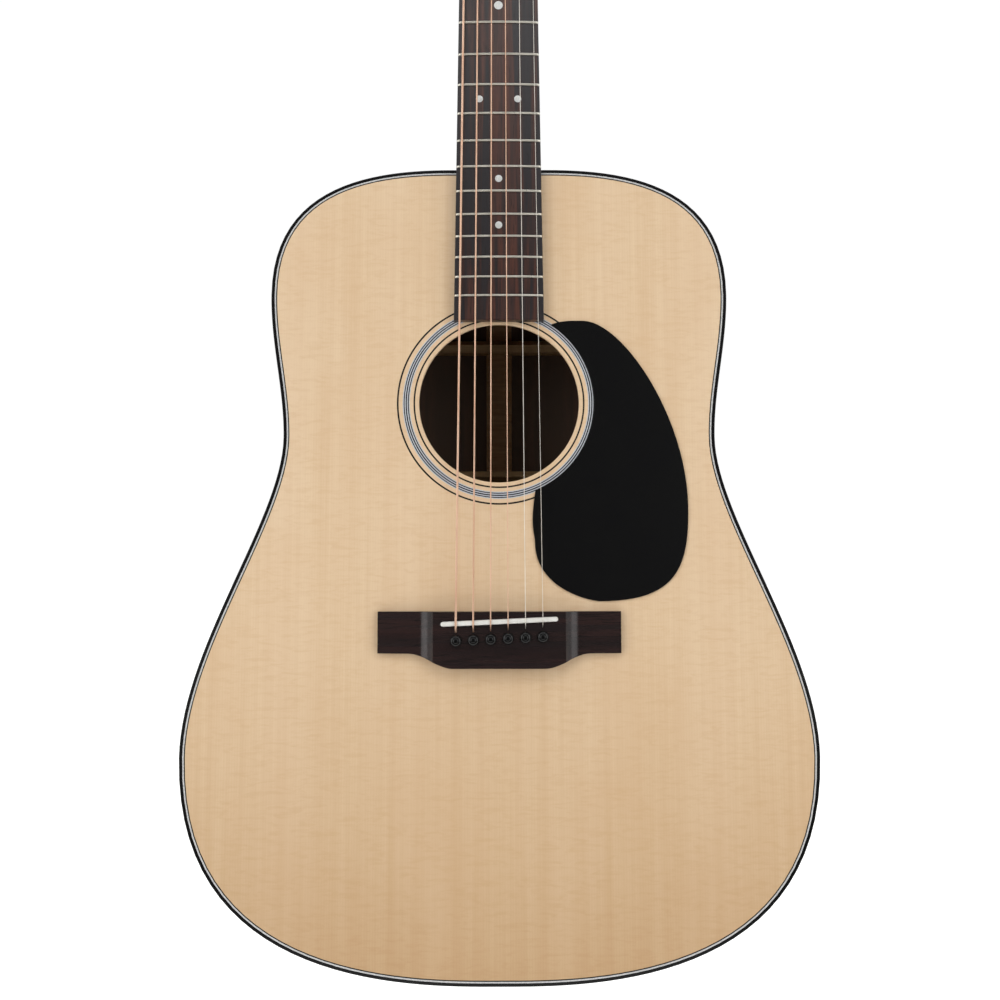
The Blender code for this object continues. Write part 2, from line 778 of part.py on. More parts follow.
def make_neck(head_frame, post_holes):
    """Neck, heel, tenon and the head's core: one piece of mahogany."""
    neck = place("neck", neck_mesh(), mahogany())
    blank = plate("head_blank", [head_loop(HEAD_KNOTS[0][1])], HEAD_THICKNESS)
    join(neck, tool("head_blank", blank, (0, 0, -HEAD_THICKNESS / 2), parent=head_frame))
    tenon = ((-TENON_HALF_WIDTH, BINDING_HEIGHT + 2 * GAP, NECK_END_Z - TENON_LENGTH),
             (TENON_HALF_WIDTH, HEEL_DEPTH - 0.009, NECK_FACE_Z + 0.004))
    join(neck, tool("tenon", boxes("tenon", [tenon])))
    half = ROD_RADIUS + RUNNING
    channel = (-half, -0.001, NECK_FACE_Z), (half, ROD_Y + half, -0.018)
    cut(neck, tool("rod_channel", boxes("rod_channel", [channel])))
    bore = (0, ROD_Y, NECK_END_Z - TENON_LENGTH - 0.01), (0, ROD_Y, NECK_FACE_Z + 0.004)
    cut(neck, tool("tenon_bore", cylinders("tenon_bore", [bore], half + RUNNING)))
    cut(neck, post_holes)


def make_heel_cap():
    half = []
    for step in range(7):
        z = NECK_FACE_Z + (HEEL_RIDGE_Z - 0.001 - NECK_FACE_Z) * step / 6
        half.append(Vector((HEEL_CAP_HALF_WIDTH * heel_blend(z), z)))
    loop = half + [Vector((-point.x, point.y)) for point in half[::-1]]
    mesh = plate("heel_cap", [loop], HEEL_CAP_THICKNESS)
    y = HEEL_DEPTH + GAP + HEEL_CAP_THICKNESS / 2
    place("heel_cap", mesh, black_binding(), location=(0, y, 0), rotation=FACE_ON)


def make_head_plate(head_frame, post_holes):
    mesh = plate("head_plate", [head_loop(2 * GAP)], HEAD_PLATE_THICKNESS)
    made = place("head_plate", mesh, rosewood(), parent=head_frame,
                 location=(0, 0, GAP + HEAD_PLATE_THICKNESS / 2))
    cut(made, post_holes)


def arched_bar(name, half_length, floor, height, thickness):
    """An upright bar across the strings whose top edge follows the cross curvature."""
    top = []
    for step in range(7):
        x = half_length * (1 - step / 3)
        top.append((x, -height + crown(x)))
    loop = [(-half_length, floor), (half_length, floor)] + top
    return plate(name, [loop], thickness)


def make_nut():
    mesh = arched_bar("nut", NUT_WIDTH / 2, -GAP, NUT_STRING_HEIGHT + 0.0010, NUT_LENGTH - GAP)
    nut = place("nut", mesh, bone(), location=(0, 0, (NUT_LENGTH + GAP) / 2))
    slots = []
    for number, diameter in enumerate(STRING_DIAMETERS):
        x = string_x(number, NUT_SPREAD)
        half = diameter / 2 + RUNNING
        floor = -NUT_STRING_HEIGHT + crown(x) + RUNNING
        slots.append(((x - half, floor - 0.004, -0.002), (x + half, floor, NUT_LENGTH + 0.002)))
    cut(nut, tool("nut_slots", boxes("nut_slots", slots)))


def make_fingerboard():
    """The board, with its frets pressed into it, as one piece."""
    sections = []
    for z in (-GAP, FINGERBOARD_END):
        half = board_half_width(z)
        ring = [(half, -GAP, z)]
        for step in range(5):
            x = half * (1 - step / 2)
            ring.append((x, -FINGERBOARD_HEIGHT + crown(x), z))
        ring.append((-half, -GAP, z))
        sections.append(ring)
    board = place("fingerboard", loft("fingerboard", sections), fingerboard_rosewood())
    frets = bmesh.new()
    for number in range(1, FRET_COUNT + 1):
        add_fret(frets, fret_z(number))
    join(board, tool("frets", mesh_from(frets, "frets")))


def add_fret(shape, z):
    """A low crowned bar across the board, its foot sunk into it."""
    half = board_half_width(z) - 0.0004
    sections = []
    for step in range(5):
        x = half * (1 - step / 2)
        top = -FINGERBOARD_HEIGHT + crown(x)
        ring = []
        for along, up in ((-0.5, -0.3), (-0.35, 0.75), (0.0, 1.0), (0.35, 0.75), (0.5, -0.3)):
            ring.append((x, top - FRET_HEIGHT * up, z + FRET_WIDTH * along))
        sections.append(ring)
    add_loft(shape, sections)


def make_truss_rod():
    """The steel rod under the fingerboard, with its socket nut inside the sound box."""
    nut_low = NECK_END_Z - BLOCK_SETBACK - NECK_BLOCK_LENGTH - 0.003
    nut_high = NECK_END_Z - TENON_LENGTH - 0.004
    top = -0.020
    profile = [(0.0, top), (ROD_RADIUS, top), (ROD_RADIUS, nut_high),
               (ROD_NUT_RADIUS, nut_high), (ROD_NUT_RADIUS, nut_low), (0.0, nut_low)]
    rod = place("truss_rod", turned("truss_rod", profile, 12), rod_steel(), location=(0, ROD_Y, 0))
    socket = cylinders("wrench_socket", [((0, 0, nut_low - 0.001), (0, 0, nut_low + 0.008))], 0.0026, 6)
    cut(rod, tool("wrench_socket", socket, (0, ROD_Y, 0)))


# ---------------------------------------------------------------- bridge, saddle, pickguard, pins

def s_curve(start, end, steps=6):
    """Points from one level to another with level ends, the last one left out."""
    points = []
    for step in range(steps):
        t = step / steps
        ease = t * t * (3 - 2 * t)
        points.append((start[0] + (end[0] - start[0]) * t, start[1] + (end[1] - start[1]) * ease))
    return points


def scoop(start, end, steps=6):
    """Points on a hollow curve, level at its start and steeper all the way to its end."""
    points = []
    for step in range(steps + 1):
        t = step / steps
        points.append((start[0] + (end[0] - start[0]) * t, start[1] + (end[1] - start[1]) * t * t))
    return points


def string_break(number):
    """The slanted run of a string: from its pin hole up to the saddle's rear edge."""
    x, z = pin_places()[number]
    top = -SADDLE_STRING_HEIGHT + crown(x) - STRING_DIAMETERS[number] / 2
    low = Vector((x, -0.0050, z + STRING_IN_HOLE))
    return low, Vector((x, top, saddle_z(x) - SADDLE_THICKNESS / 2 - GAP))


def string_ramps():
    """Slanted boxes along each string, from inside its pin hole towards the saddle."""
    shape = bmesh.new()
    for number, diameter in enumerate(STRING_DIAMETERS):
        width = diameter + 2 * GAP
        low, high = string_break(number)
        way = (high - low).normalized()
        turn = way.to_track_quat("Z", "Y").to_matrix().to_4x4()
        middle = Matrix.Translation(low + way * 0.0035)
        size = Matrix.Diagonal((width, width, 0.0085, 1))
        bmesh.ops.create_cube(shape, size=1, matrix=middle @ turn @ size)
    return mesh_from(shape, "string_ramps")


def make_bridge(pin_holes):
    """A belly bridge: its plan, cut to a profile with a raised middle and thin wings."""
    belly, belly_end = 0.0280, 0.0565
    end_z = BRIDGE_WING_Z + 0.0004
    loop = [(-BRIDGE_HALF_WIDTH, BRIDGE_TOP_Z), (-BRIDGE_HALF_WIDTH, end_z)]
    loop += s_curve((-belly_end, BRIDGE_WING_Z), (-belly, BRIDGE_BELLY_Z))
    loop += [(-belly, BRIDGE_BELLY_Z)]
    loop += s_curve((belly, BRIDGE_BELLY_Z), (belly_end, BRIDGE_WING_Z))
    loop += [(belly_end, BRIDGE_WING_Z), (BRIDGE_HALF_WIDTH, end_z), (BRIDGE_HALF_WIDTH, BRIDGE_TOP_Z)]
    blank = 0.012
    mesh = plate("bridge", [loop], blank)
    bridge = place("bridge", mesh, bridge_rosewood(), location=(0, -GAP - blank / 2, 0),
                   rotation=FACE_ON)

    raised, slope_end, wide = 0.0410, 0.0500, BRIDGE_HALF_WIDTH + 0.002
    profile = [(wide, 0.002), (wide, -BRIDGE_WING_HEIGHT)]
    profile += scoop((slope_end, -BRIDGE_WING_HEIGHT - 0.0004), (raised, -BRIDGE_HEIGHT))
    profile += [(-x, y) for x, y in profile[::-1]]
    shape = plate("bridge_profile", [profile], 2 * (BRIDGE_TOP_Z - BRIDGE_BELLY_Z))
    combine(bridge, tool("bridge_profile", shape, (0, 0, BRIDGE_WING_Z)), "INTERSECT")

    cut(bridge, saddle_shape("saddle_slot", GAP, SADDLE_SLOT_FLOOR))
    cut(bridge, pin_holes)
    cut(bridge, tool("string_ramps", string_ramps()))


def saddle_shape(name, margin, floor):
    """A tall plate with the saddle's round-ended plan, set at the saddle's slant."""
    radius = SADDLE_THICKNESS / 2 + margin
    middle = (SADDLE_LENGTH - SADDLE_THICKNESS) / 2
    loop = circle((middle, 0), radius, 6, -90, 180) + circle((-middle, 0), radius, 6, 90, 180)
    height = 0.010
    place_at = (0, floor - height / 2, SADDLE_Z - SADDLE_COMPENSATION)
    return tool(name, plate(name, [loop], height), place_at, (math.pi / 2, -SADDLE_TILT, 0))


def make_saddle():
    floor = SADDLE_SLOT_FLOOR - GAP
    mesh = arched_bar("saddle", SADDLE_LENGTH / 2 + 0.001, floor, SADDLE_STRING_HEIGHT - RUNNING,
                      SADDLE_THICKNESS + 0.001)
    saddle = place("saddle", mesh, bone(), location=(0, 0, SADDLE_Z - SADDLE_COMPENSATION),
                   rotation=(0, -SADDLE_TILT, 0))
    combine(saddle, saddle_shape("saddle_plan", 0.0, floor + 0.001), "INTERSECT")


def make_pickguard():
    """A thin plate beside the sound hole; its inner edge is an arc round the hole."""
    loop = [point for point, _ in knot_path(GUARD_KNOTS, 8)]
    middle = Vector((0, HOLE_Z))
    first, last = loop[0] - middle, loop[-1] - middle
    start = math.degrees(math.atan2(last.y, last.x))
    sweep = math.degrees(math.atan2(first.y, first.x)) - start
    loop += circle(middle, GUARD_RADIUS, 12, start, sweep)[1:-1]
    mesh = plate("pickguard", [loop], GUARD_THICKNESS)
    y = -GAP - GUARD_THICKNESS / 2
    place("pickguard", mesh, pickguard_plastic(), location=(0, y, 0), rotation=FACE_ON)


def make_bridge_pins():
    """Tapered pins with a domed head and a slot for the string towards the saddle."""
    under = BRIDGE_HEIGHT + GAP
    profile = [(0.0, under + 0.0032), (0.0018, under + 0.0029), (0.0031, under + 0.0018),
               (PIN_HEAD_RADIUS, under + 0.0006), (PIN_HEAD_RADIUS - 0.0002, under),
               (PIN_NECK_RADIUS, under), (PIN_TIP_RADIUS, under - PIN_LENGTH + 0.001),
               (PIN_TIP_RADIUS - 0.0008, under - PIN_LENGTH), (0.0, under - PIN_LENGTH)]
    slot_low, slot_high = (-0.0009, 0.00095, under - PIN_LENGTH - 0.001), (0.0009, 0.004, under - 0.0002)
    slot = boxes("pin_slot", [(slot_low, slot_high)])
    for number, (x, z) in enumerate(pin_places(), start=1):
        name = "bridge_pin_%d" % number
        pin = place(name, turned(name, profile, 12), pin_plastic(), location=(x, 0, z), rotation=FACE_ON)
        cut(pin, tool(name + "_slot", slot, (x, 0, z), FACE_ON))


def make_end_pin():
    """The strap button in the tail: a flanged knob on a tapered shaft, pointing along -Z."""
    profile = [(0.0, 0.0200), (END_PIN_RADIUS - 0.0004, 0.0200), (END_PIN_RADIUS, 0.0),
               (0.0062, 0.0), (0.0062, -0.0022), (0.0046, -0.0045), (0.0046, -0.0065),
               (0.0075, -0.0088), (0.0075, -0.0112), (0.0060, -0.0125), (0.0, -0.0125)]
    mesh = turned("end_pin", profile, 16)
    place("end_pin", mesh, pin_plastic(), location=(0, END_PIN_Y, TAIL_Z - GAP))


# ---------------------------------------------------------------- strings

def string_route(number, frame):
    """The way of one string, from its ball end under the bridge to its coil on the post."""
    radius = STRING_DIAMETERS[number] / 2
    pin_x, pin_z = pin_places()[number]
    nut_x = string_x(number, NUT_SPREAD)
    below = TOP_THICKNESS + BRIDGE_PLATE_THICKNESS + 3 * GAP + BALL_RADIUS
    beside = pin_z + STRING_IN_HOLE
    low, high = string_break(number)
    nut_top = -NUT_STRING_HEIGHT + crown(nut_x) - radius
    route = [
        Vector((pin_x, below, pin_z + PIN_TIP_RADIUS + BALL_RADIUS + GAP)),
        Vector((pin_x, below, beside + 0.0006)),
        Vector((pin_x, below - 0.0006, beside)),
        low,
        high,
        Vector((pin_x, high.y, saddle_z(pin_x) + 0.0006)),
        Vector((nut_x, nut_top, 0.0004)),
        Vector((nut_x, nut_top, NUT_LENGTH - 0.0006)),
    ]
    return route + coil_on_post(number, route[-1], radius, frame)


def coil_on_post(number, nut_point, radius, frame):
    """The turns round the tuning post, worked out in the head's own frame."""
    _, side, row = tuner_places()[number]
    up, out = TUNER_ROWS[row]
    post = Vector((side * out, up))
    reach = POST_RADIUS + radius + GAP / 2
    from_nut = frame.inverted() @ nut_point
    way = (post - side * Vector((reach, 0)) - from_nut.xy).normalized()
    start = math.atan2(side * way.x, -side * way.y)
    points = []
    for step in range(COIL_TURNS * COIL_STEPS + 1):
        angle = start - side * 2 * math.pi * step / COIL_STEPS
        drop = (2 * radius + 0.0001) * step / COIL_STEPS
        flat = post + reach * Vector((math.cos(angle), math.sin(angle)))
        points.append(frame @ Vector((flat.x, flat.y, COIL_TOP - drop)))
    return points


def make_string(number, frame):
    """One string: a wire with its ball end."""
    name = "string_%d" % (number + 1)
    material = steel_string() if number < 2 else bronze_string()
    route = string_route(number, frame)
    wire = bpy.data.curves.new(name, "CURVE")
    wire.dimensions = "3D"
    wire.bevel_depth = STRING_DIAMETERS[number] / 2
    wire.bevel_resolution = 2
    wire.use_fill_caps = True
    spline = wire.splines.new("POLY")
    spline.points.add(len(route) - 1)
    for point, place_on_route in zip(spline.points, route):
        point.co = (*place_on_route, 1)
    string = place(name, curve_to_mesh(name, wire), material)
    half_ball = Vector((0.0015, 0, 0))
    ball = cylinders(name + "_ball", [(route[0] - half_ball, route[0] + half_ball)], BALL_RADIUS, 12)
    join(string, tool(name + "_ball", ball))


# ---------------------------------------------------------------- tuning machines

def mirror_mesh(mesh, side):
    """Turn a treble machine's mesh into the bass side's mirror image."""
    if side < 0:
        mesh.transform(Matrix.Scale(-1, 4, (1, 0, 0)))
        mesh.flip_normals()
    return mesh


def make_tuner_plate(number, side, frame):
    """The base plate on the head's back, with two ears that carry the worm."""
    name = "tuner_plate_%d" % number
    thickness = 0.0012
    top = -HEAD_THICKNESS - GAP
    outline = []
    for y, start in ((0.0090, 0), (-0.0115, 180)):
        outline += circle((0, y), 0.0085, 8, start, 180)
    base = mirror_mesh(plate(name, [outline], thickness), side)
    made = place(name, base, nickel(), location=(0, 0, top - thickness / 2), parent=frame)
    ears = []
    for x in (EAR_INNER, -EAR_INNER - EAR_THICKNESS):
        ears.append(((x, -WORM_DISTANCE - 0.0032, WORM_DEPTH - 0.0034),
                     (x + EAR_THICKNESS, -WORM_DISTANCE + 0.0032, top - thickness / 2)))
    join(made, tool(name + "_ears", boxes(name + "_ears", ears), parent=frame))
    bearing = (-0.02, -WORM_DISTANCE, WORM_DEPTH), (0.02, -WORM_DISTANCE, WORM_DEPTH)
    bores = cylinders(name + "_bearing", [bearing], SHAFT_RADIUS + RUNNING, 12)
    cut(made, tool(name + "_bearing", bores, parent=frame))
    hole = (0, 0, -0.02), (0, 0, 0.0)
    post_way = cylinders(name + "_hole", [hole], POST_RADIUS + RUNNING)
    cut(made, tool(name + "_hole", post_way, parent=frame))


def gear_loop():
    """The worm wheel's teeth, one of them pointing at the worm."""
    loop = []
    tip = GEAR_PITCH_RADIUS + TOOTH_REACH
    root = GEAR_PITCH_RADIUS - TOOTH_REACH - 0.0002
    half_tooth = 0.20 * THREAD_PITCH
    for tooth in range(GEAR_TEETH):
        middle = -90 + 360 * tooth / GEAR_TEETH
        for radius, side in ((root, -1), (tip, -1), (tip, 1), (root, 1)):
            half = half_tooth - (radius - GEAR_PITCH_RADIUS) * TOOTH_SLOPE
            loop.append(radius * heading(middle + side * math.degrees(half / radius)))
    return loop


def make_tuner_post(number, side, frame):
    """The string post with its worm wheel, which turn together."""
    name = "tuner_post_%d" % number
    bottom = GEAR_TOP - GEAR_THICKNESS - 0.0010
    profile = [(0.0, POST_TOP), (0.0024, POST_TOP), (POST_RADIUS, POST_TOP - 0.0006),
               (POST_RADIUS, 0.0135), (0.0026, 0.0120), (POST_RADIUS, COIL_TOP + 0.0010),
               (POST_RADIUS, bottom), (0.0, bottom)]
    post = place(name, turned(name, profile, 12), nickel(), parent=frame)
    wheel = mirror_mesh(plate(name + "_wheel", [gear_loop()], GEAR_THICKNESS), side)
    join(post, tool(name + "_wheel", wheel, (0, 0, WORM_DEPTH), parent=frame))


def worm_thread():
    """A screw thread about X, half a pitch out of step with the wheel's nearest tooth."""
    shape = bmesh.new()
    turns, steps = 3, 8
    half_thread = 0.18 * THREAD_PITCH
    sections = []
    for step in range(turns * steps + 1):
        turn = step / steps - turns / 2
        angle = 2 * math.pi * (turn + 0.5)
        x = THREAD_PITCH * turn
        ring = []
        for radius, edge in ((WORM_CORE_RADIUS - 0.0003, -1), (WORM_PITCH_RADIUS + TOOTH_REACH, -1),
                             (WORM_PITCH_RADIUS + TOOTH_REACH, 1), (WORM_CORE_RADIUS - 0.0003, 1)):
            half = half_thread - (radius - WORM_PITCH_RADIUS) * TOOTH_SLOPE
            ring.append((x + edge * half, radius * math.cos(angle), radius * math.sin(angle)))
        sections.append(ring)
    add_loft(shape, sections)
    return mesh_from(shape, "worm_thread")


def make_tuner_knob(number, side, frame):
    """The worm, its shaft and the button on its end, turned by hand."""
    name = "tuner_knob_%d" % number
    inner, outer = -EAR_INNER - EAR_THICKNESS, 0.0215
    profile = [(0.0, outer), (SHAFT_RADIUS, outer), (SHAFT_RADIUS, 0.0150), (0.0030, 0.0146),
               (0.0030, 0.0136), (SHAFT_RADIUS, 0.0130), (SHAFT_RADIUS, EAR_INNER - GAP),
               (WORM_CORE_RADIUS, EAR_INNER - GAP), (WORM_CORE_RADIUS, -EAR_INNER + GAP),
               (SHAFT_RADIUS, -EAR_INNER + GAP), (SHAFT_RADIUS, inner), (0.0, inner)]
    axis = (0, -WORM_DISTANCE, WORM_DEPTH)
    shaft = turned(name, profile, 8)
    shaft.transform(Matrix.Rotation(math.pi / 2, 4, "Y"))
    knob = place(name, mirror_mesh(shaft, side), nickel(), location=axis, parent=frame)
    thread = mirror_mesh(worm_thread(), side)
    join(knob, tool(name + "_thread", thread, axis, parent=frame))
    button = bmesh.new()
    bmesh.ops.create_uvsphere(button, u_segments=12, v_segments=6, radius=1)
    bmesh.ops.scale(button, vec=(0.0068, 0.0085, 0.0034), verts=button.verts)
    bmesh.ops.translate(button, vec=(0.0216, 0, 0), verts=button.verts)
    mesh = mirror_mesh(mesh_from(button, name + "_button"), side)
    join(knob, tool(name + "_button", mesh, axis, parent=frame))


def make_tuners(head_frame):
    for string, side, row in tuner_places():
        up, out = TUNER_ROWS[row]
        number = string + 1
        frame = bpy.data.objects.new("tuner_frame_%d" % number, None)
        frame.location = (side * out, up, 0)
        frame.parent = head_frame
        bpy.data.collections[PARTS].objects.link(frame)
        make_tuner_plate(number, side, frame)
        make_tuner_post(number, side, frame)
        make_tuner_knob(number, side, frame)


def post_hole_tool(head_frame):
    ends = []
    for _, side, row in tuner_places():
        up, out = TUNER_ROWS[row]
        ends.append(((side * out, up, -HEAD_THICKNESS - 0.02), (side * out, up, 0.02)))
    mesh = cylinders("post_holes", ends, POST_RADIUS + RUNNING)
    return tool("post_holes", mesh, parent=head_frame)


def pin_hole_tool():
    ends = [((x, -0.02, z), (x, 0.02, z)) for x, z in pin_places()]
    return tool("pin_holes", cylinders("pin_holes", ends, PIN_HOLE_RADIUS, 12))


def end_pin_tool():
    way = (0, END_PIN_Y, TAIL_Z - 0.01), (0, END_PIN_Y, TAIL_Z + 0.04)
    return tool("end_pin_hole", cylinders("end_pin_hole", [way], END_PIN_RADIUS + GAP))


def build():
    clear_scene()
    head_frame = make_head_frame()
    pin_holes = pin_hole_tool()
    end_pin_hole = end_pin_tool()
    post_holes = post_hole_tool(head_frame)

    make_soundboard(pin_holes)
    make_back()
    make_ribs(end_pin_hole)
    make_bindings()
    make_linings()
    make_neck_block()
    make_tail_block(end_pin_hole)
    make_x_brace()
    make_upper_brace()
    make_bridge_plate(pin_holes)
    make_back_braces()
    make_centre_strip()

    make_neck(head_frame, post_holes)
    make_heel_cap()
    make_head_plate(head_frame, post_holes)
    make_nut()
    make_fingerboard()
    make_truss_rod()

    make_bridge(pin_holes)
    make_saddle()
    make_pickguard()
    make_bridge_pins()
    make_end_pin()

    bpy.context.view_layer.update()
    for number in range(len(STRING_DIAMETERS)):
        make_string(number, head_frame.matrix_world)
    make_tuners(head_frame)


build()
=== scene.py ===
"""Looks for the acoustic guitar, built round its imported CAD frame.

Metres, in the CAD's frame: +Z up the neck, the soundboard's face on y = 0 looking along -Y,
+X the treble side, and the origin at the nut. Every outline follows the same rules as the CAD
part, sampled more finely, and the finer pieces stand for the faceted CAD nodes.
"""
import json
from math import atan2, copysign, cos, degrees, exp, hypot, pi, radians, sin, sqrt, tan

import bmesh
import bpy
from mathutils import Euler, Matrix, Vector

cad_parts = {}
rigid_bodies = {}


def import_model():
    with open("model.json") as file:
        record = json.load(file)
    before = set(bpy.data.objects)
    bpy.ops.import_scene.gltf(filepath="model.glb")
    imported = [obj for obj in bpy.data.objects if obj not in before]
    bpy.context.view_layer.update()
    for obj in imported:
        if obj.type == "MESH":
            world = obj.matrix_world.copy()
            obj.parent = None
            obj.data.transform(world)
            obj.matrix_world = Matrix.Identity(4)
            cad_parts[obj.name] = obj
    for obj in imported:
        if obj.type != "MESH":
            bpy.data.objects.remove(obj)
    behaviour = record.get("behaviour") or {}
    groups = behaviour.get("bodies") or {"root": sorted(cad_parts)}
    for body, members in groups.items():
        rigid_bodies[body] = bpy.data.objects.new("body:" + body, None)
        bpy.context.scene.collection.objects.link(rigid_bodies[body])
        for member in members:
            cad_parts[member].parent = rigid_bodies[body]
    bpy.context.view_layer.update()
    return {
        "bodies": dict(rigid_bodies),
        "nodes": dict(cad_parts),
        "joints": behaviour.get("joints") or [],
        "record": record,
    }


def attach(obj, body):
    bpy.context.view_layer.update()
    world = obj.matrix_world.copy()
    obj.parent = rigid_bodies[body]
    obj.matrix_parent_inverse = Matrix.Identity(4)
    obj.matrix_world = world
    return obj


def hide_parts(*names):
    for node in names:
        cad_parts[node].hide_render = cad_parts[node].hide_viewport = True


# ---- dimensions

# Scale and frets
SCALE_LENGTH = 0.6452
FRET_COUNT = 20
BODY_FRET = 14
SADDLE_Z = -SCALE_LENGTH
CROSS_RADIUS = 0.406

# Body
TAIL_Z = SADDLE_Z - 0.2230
DEPTH_AT_NECK = 0.100
DEPTH_AT_TAIL = 0.124
BACK_RADIUS = 4.57
TOP_THICKNESS = 0.0028
BACK_THICKNESS = 0.0024
RIB_THICKNESS = 0.0022
BINDING_HEIGHT = 0.006
STRIP_WIDTH = 0.019
STRIP_THICKNESS = 0.0015
LINING_WIDTH = 0.0055
LINING_HEIGHT = 0.014
BLOCK_HALF_WIDTH = 0.040
NECK_BLOCK_LENGTH = 0.045
TAIL_BLOCK_LENGTH = 0.020
BLOCK_SETBACK = 0.0034
TENON_HALF_WIDTH = 0.0127
LIGHT_PURFLING = 0.0031           # outer limits of the lines inside the binding, from the edge
DARK_PURFLING = 0.0038
BACK_PURFLING = 0.0029
SPAN_STEPS = 30

# Sound hole, rosette, pickguard, bridge
HOLE_RADIUS = 0.0508
HOLE_Z = SADDLE_Z + 0.1354
GUARD_FRONT = -0.0010
GUARD_RADIUS = 0.0605
BRIDGE_HALF_WIDTH = 0.0756
BRIDGE_HEIGHT = 0.0085
BRIDGE_WING_HEIGHT = 0.0035
BRIDGE_TOP_Z = SADDLE_Z + 0.0038
BRIDGE_WING_Z = SADDLE_Z - 0.0221
BRIDGE_BELLY_Z = SADDLE_Z - 0.0310
SADDLE_LENGTH = 0.0726
SADDLE_THICKNESS = 0.0030
SADDLE_SLOT_FLOOR = -0.0042
SADDLE_COMPENSATION = 0.0022
SADDLE_TILT = radians(2.54)
PIN_SETBACK = 0.0105
PIN_LENGTH = 0.027
PIN_HOLE_RADIUS = 0.0029
PIN_TIP_RADIUS = 0.0022
STRING_IN_HOLE = 0.0019
END_PIN_Y = 0.058

# Neck, fingerboard and head
NUT_WIDTH = 0.0445
NUT_LENGTH = 0.0055
FINGERBOARD_TAPER = 0.0277
FINGERBOARD_END = SADDLE_Z + 0.1875
FINGERBOARD_HEIGHT = 0.0065
FRET_HEIGHT = 0.0011
FRET_WIDTH = 0.0015
NECK_DEPTH = 0.0150
HEEL_DEPTH = 0.0970
HEEL_TOP_Z = -0.288
HEEL_RIDGE_Z = -0.333
HEEL_CAP_HALF_WIDTH = 0.0125
HEAD_ANGLE = radians(14.5)
HEAD_THICKNESS = 0.0130
HEAD_PLATE_FRONT = 0.0027
HEAD_ORIGIN = Vector((0.0, 0.0020, NUT_LENGTH))

# Strings, treble to bass
STRING_DIAMETERS = (0.000305, 0.000406, 0.000610, 0.000813, 0.001067, 0.001372)
NUT_SPREAD = 0.0395
SADDLE_SPREAD = 0.0535
NUT_STRING_HEIGHT = 0.0081
SADDLE_STRING_HEIGHT = 0.0112
BALL_RADIUS = 0.0019
BALL_Y = 0.0081
COIL_TURNS = 2

# Tuning machines
TUNER_ROWS = ((0.040, 0.0215), (0.078, 0.0230), (0.116, 0.0242))
POST_RADIUS = 0.0030
POST_TOP = 0.0165
COIL_TOP = 0.0100
GEAR_TEETH = 15
GEAR_PITCH_RADIUS = 0.00455
GEAR_TOP = -0.0170
GEAR_THICKNESS = 0.0024
WORM_PITCH_RADIUS = 0.00265
WORM_CORE_RADIUS = 0.0020
WORM_DISTANCE = GEAR_PITCH_RADIUS + WORM_PITCH_RADIUS
WORM_DEPTH = GEAR_TOP - GEAR_THICKNESS / 2
THREAD_PITCH = 2 * pi * GEAR_PITCH_RADIUS / GEAR_TEETH
TOOTH_REACH = 0.00045
TOOTH_SLOPE = tan(radians(20))
SHAFT_RADIUS = 0.0016
EAR_INNER = 0.0052
EAR_THICKNESS = 0.0016

PROUD = 0.00003                   # how far an inlay stands above its ground
FACE_ON = Euler((pi / 2, 0, 0)).to_matrix().to_4x4()  # a flat outline's +Z turned to -Y
HEAD_FRAME = Matrix.Translation(HEAD_ORIGIN) @ Matrix.Rotation(pi / 2 - HEAD_ANGLE, 4, "X")
HANDS = ((1, "treble"), (-1, "bass"))
LOOKS = {}                         # each look's material and slot, by its name


# ---- curves and outlines

def heading(angle):
    return Vector((cos(radians(angle)), sin(radians(angle))))


def evenly(low, high, steps):
    """Equal steps from low to high, both ends included."""
    return [low + (high - low) * step / steps for step in range(steps + 1)]


def knot_path(knots, steps):
    """Cubic curves through knots of (x, y, heading, reach in, reach out), as (point, way)."""
    samples = []
    for start, end in zip(knots, knots[1:]):
        p0, p3 = Vector(start[:2]), Vector(end[:2])
        p1 = p0 + heading(start[2]) * start[4]
        p2 = p3 - heading(end[2]) * end[3]
        for t in evenly(0, 1, steps)[:-1]:
            s = 1 - t
            point = s ** 3 * p0 + 3 * s * s * t * p1 + 3 * s * t * t * p2 + t ** 3 * p3
            slope = s * s * (p1 - p0) + 2 * s * t * (p2 - p1) + t * t * (p3 - p2)
            samples.append((point, slope.normalized()))
    samples.append((Vector(knots[-1][:2]), heading(knots[-1][2])))
    return samples


def circle(centre, radius, steps, start=0.0, sweep=360.0):
    last = steps if sweep < 360 else steps - 1
    return [Vector(centre) + radius * heading(start + sweep * i / steps) for i in range(last + 1)]


def smooth_run(keys, steps):
    """Catmull-Rom samples through tuples of numbers."""
    padded = [keys[0], *keys, keys[-1]]
    run = []
    for four in zip(padded, padded[1:], padded[2:], padded[3:]):
        for t in evenly(0, 1, steps)[:-1]:
            run.append([0.5 * (2 * q + (r - p) * t + (2 * p - 5 * q + 4 * r - s) * t * t
                               + (3 * q - p - 3 * r + s) * t ** 3) for p, q, r, s in zip(*four)])
    return run + [keys[-1]]


def eased(start, end, ease, steps):
    """From start to end in equal steps of x, with y's share of its change given by ease."""
    return [(start[0] + (end[0] - start[0]) * t, start[1] + (end[1] - start[1]) * ease(t))
            for t in evenly(0, 1, steps)]


def level_ends(t):
    return t * t * (3 - 2 * t)


def hollow(t):
    return t * t


def rounded(route, radius, steps=6):
    """The route with each corner replaced by a short curve."""
    path = [route[0]]
    for before, corner, after in zip(route, route[1:], route[2:]):
        back, on = before - corner, after - corner
        reach = min(radius, back.length * 0.45, on.length * 0.45)
        a, b = corner + back.normalized() * reach, corner + on.normalized() * reach
        path += [a.lerp(corner, t).lerp(corner.lerp(b, t), t) for t in evenly(0, 1, steps)]
    return path + [route[-1]]


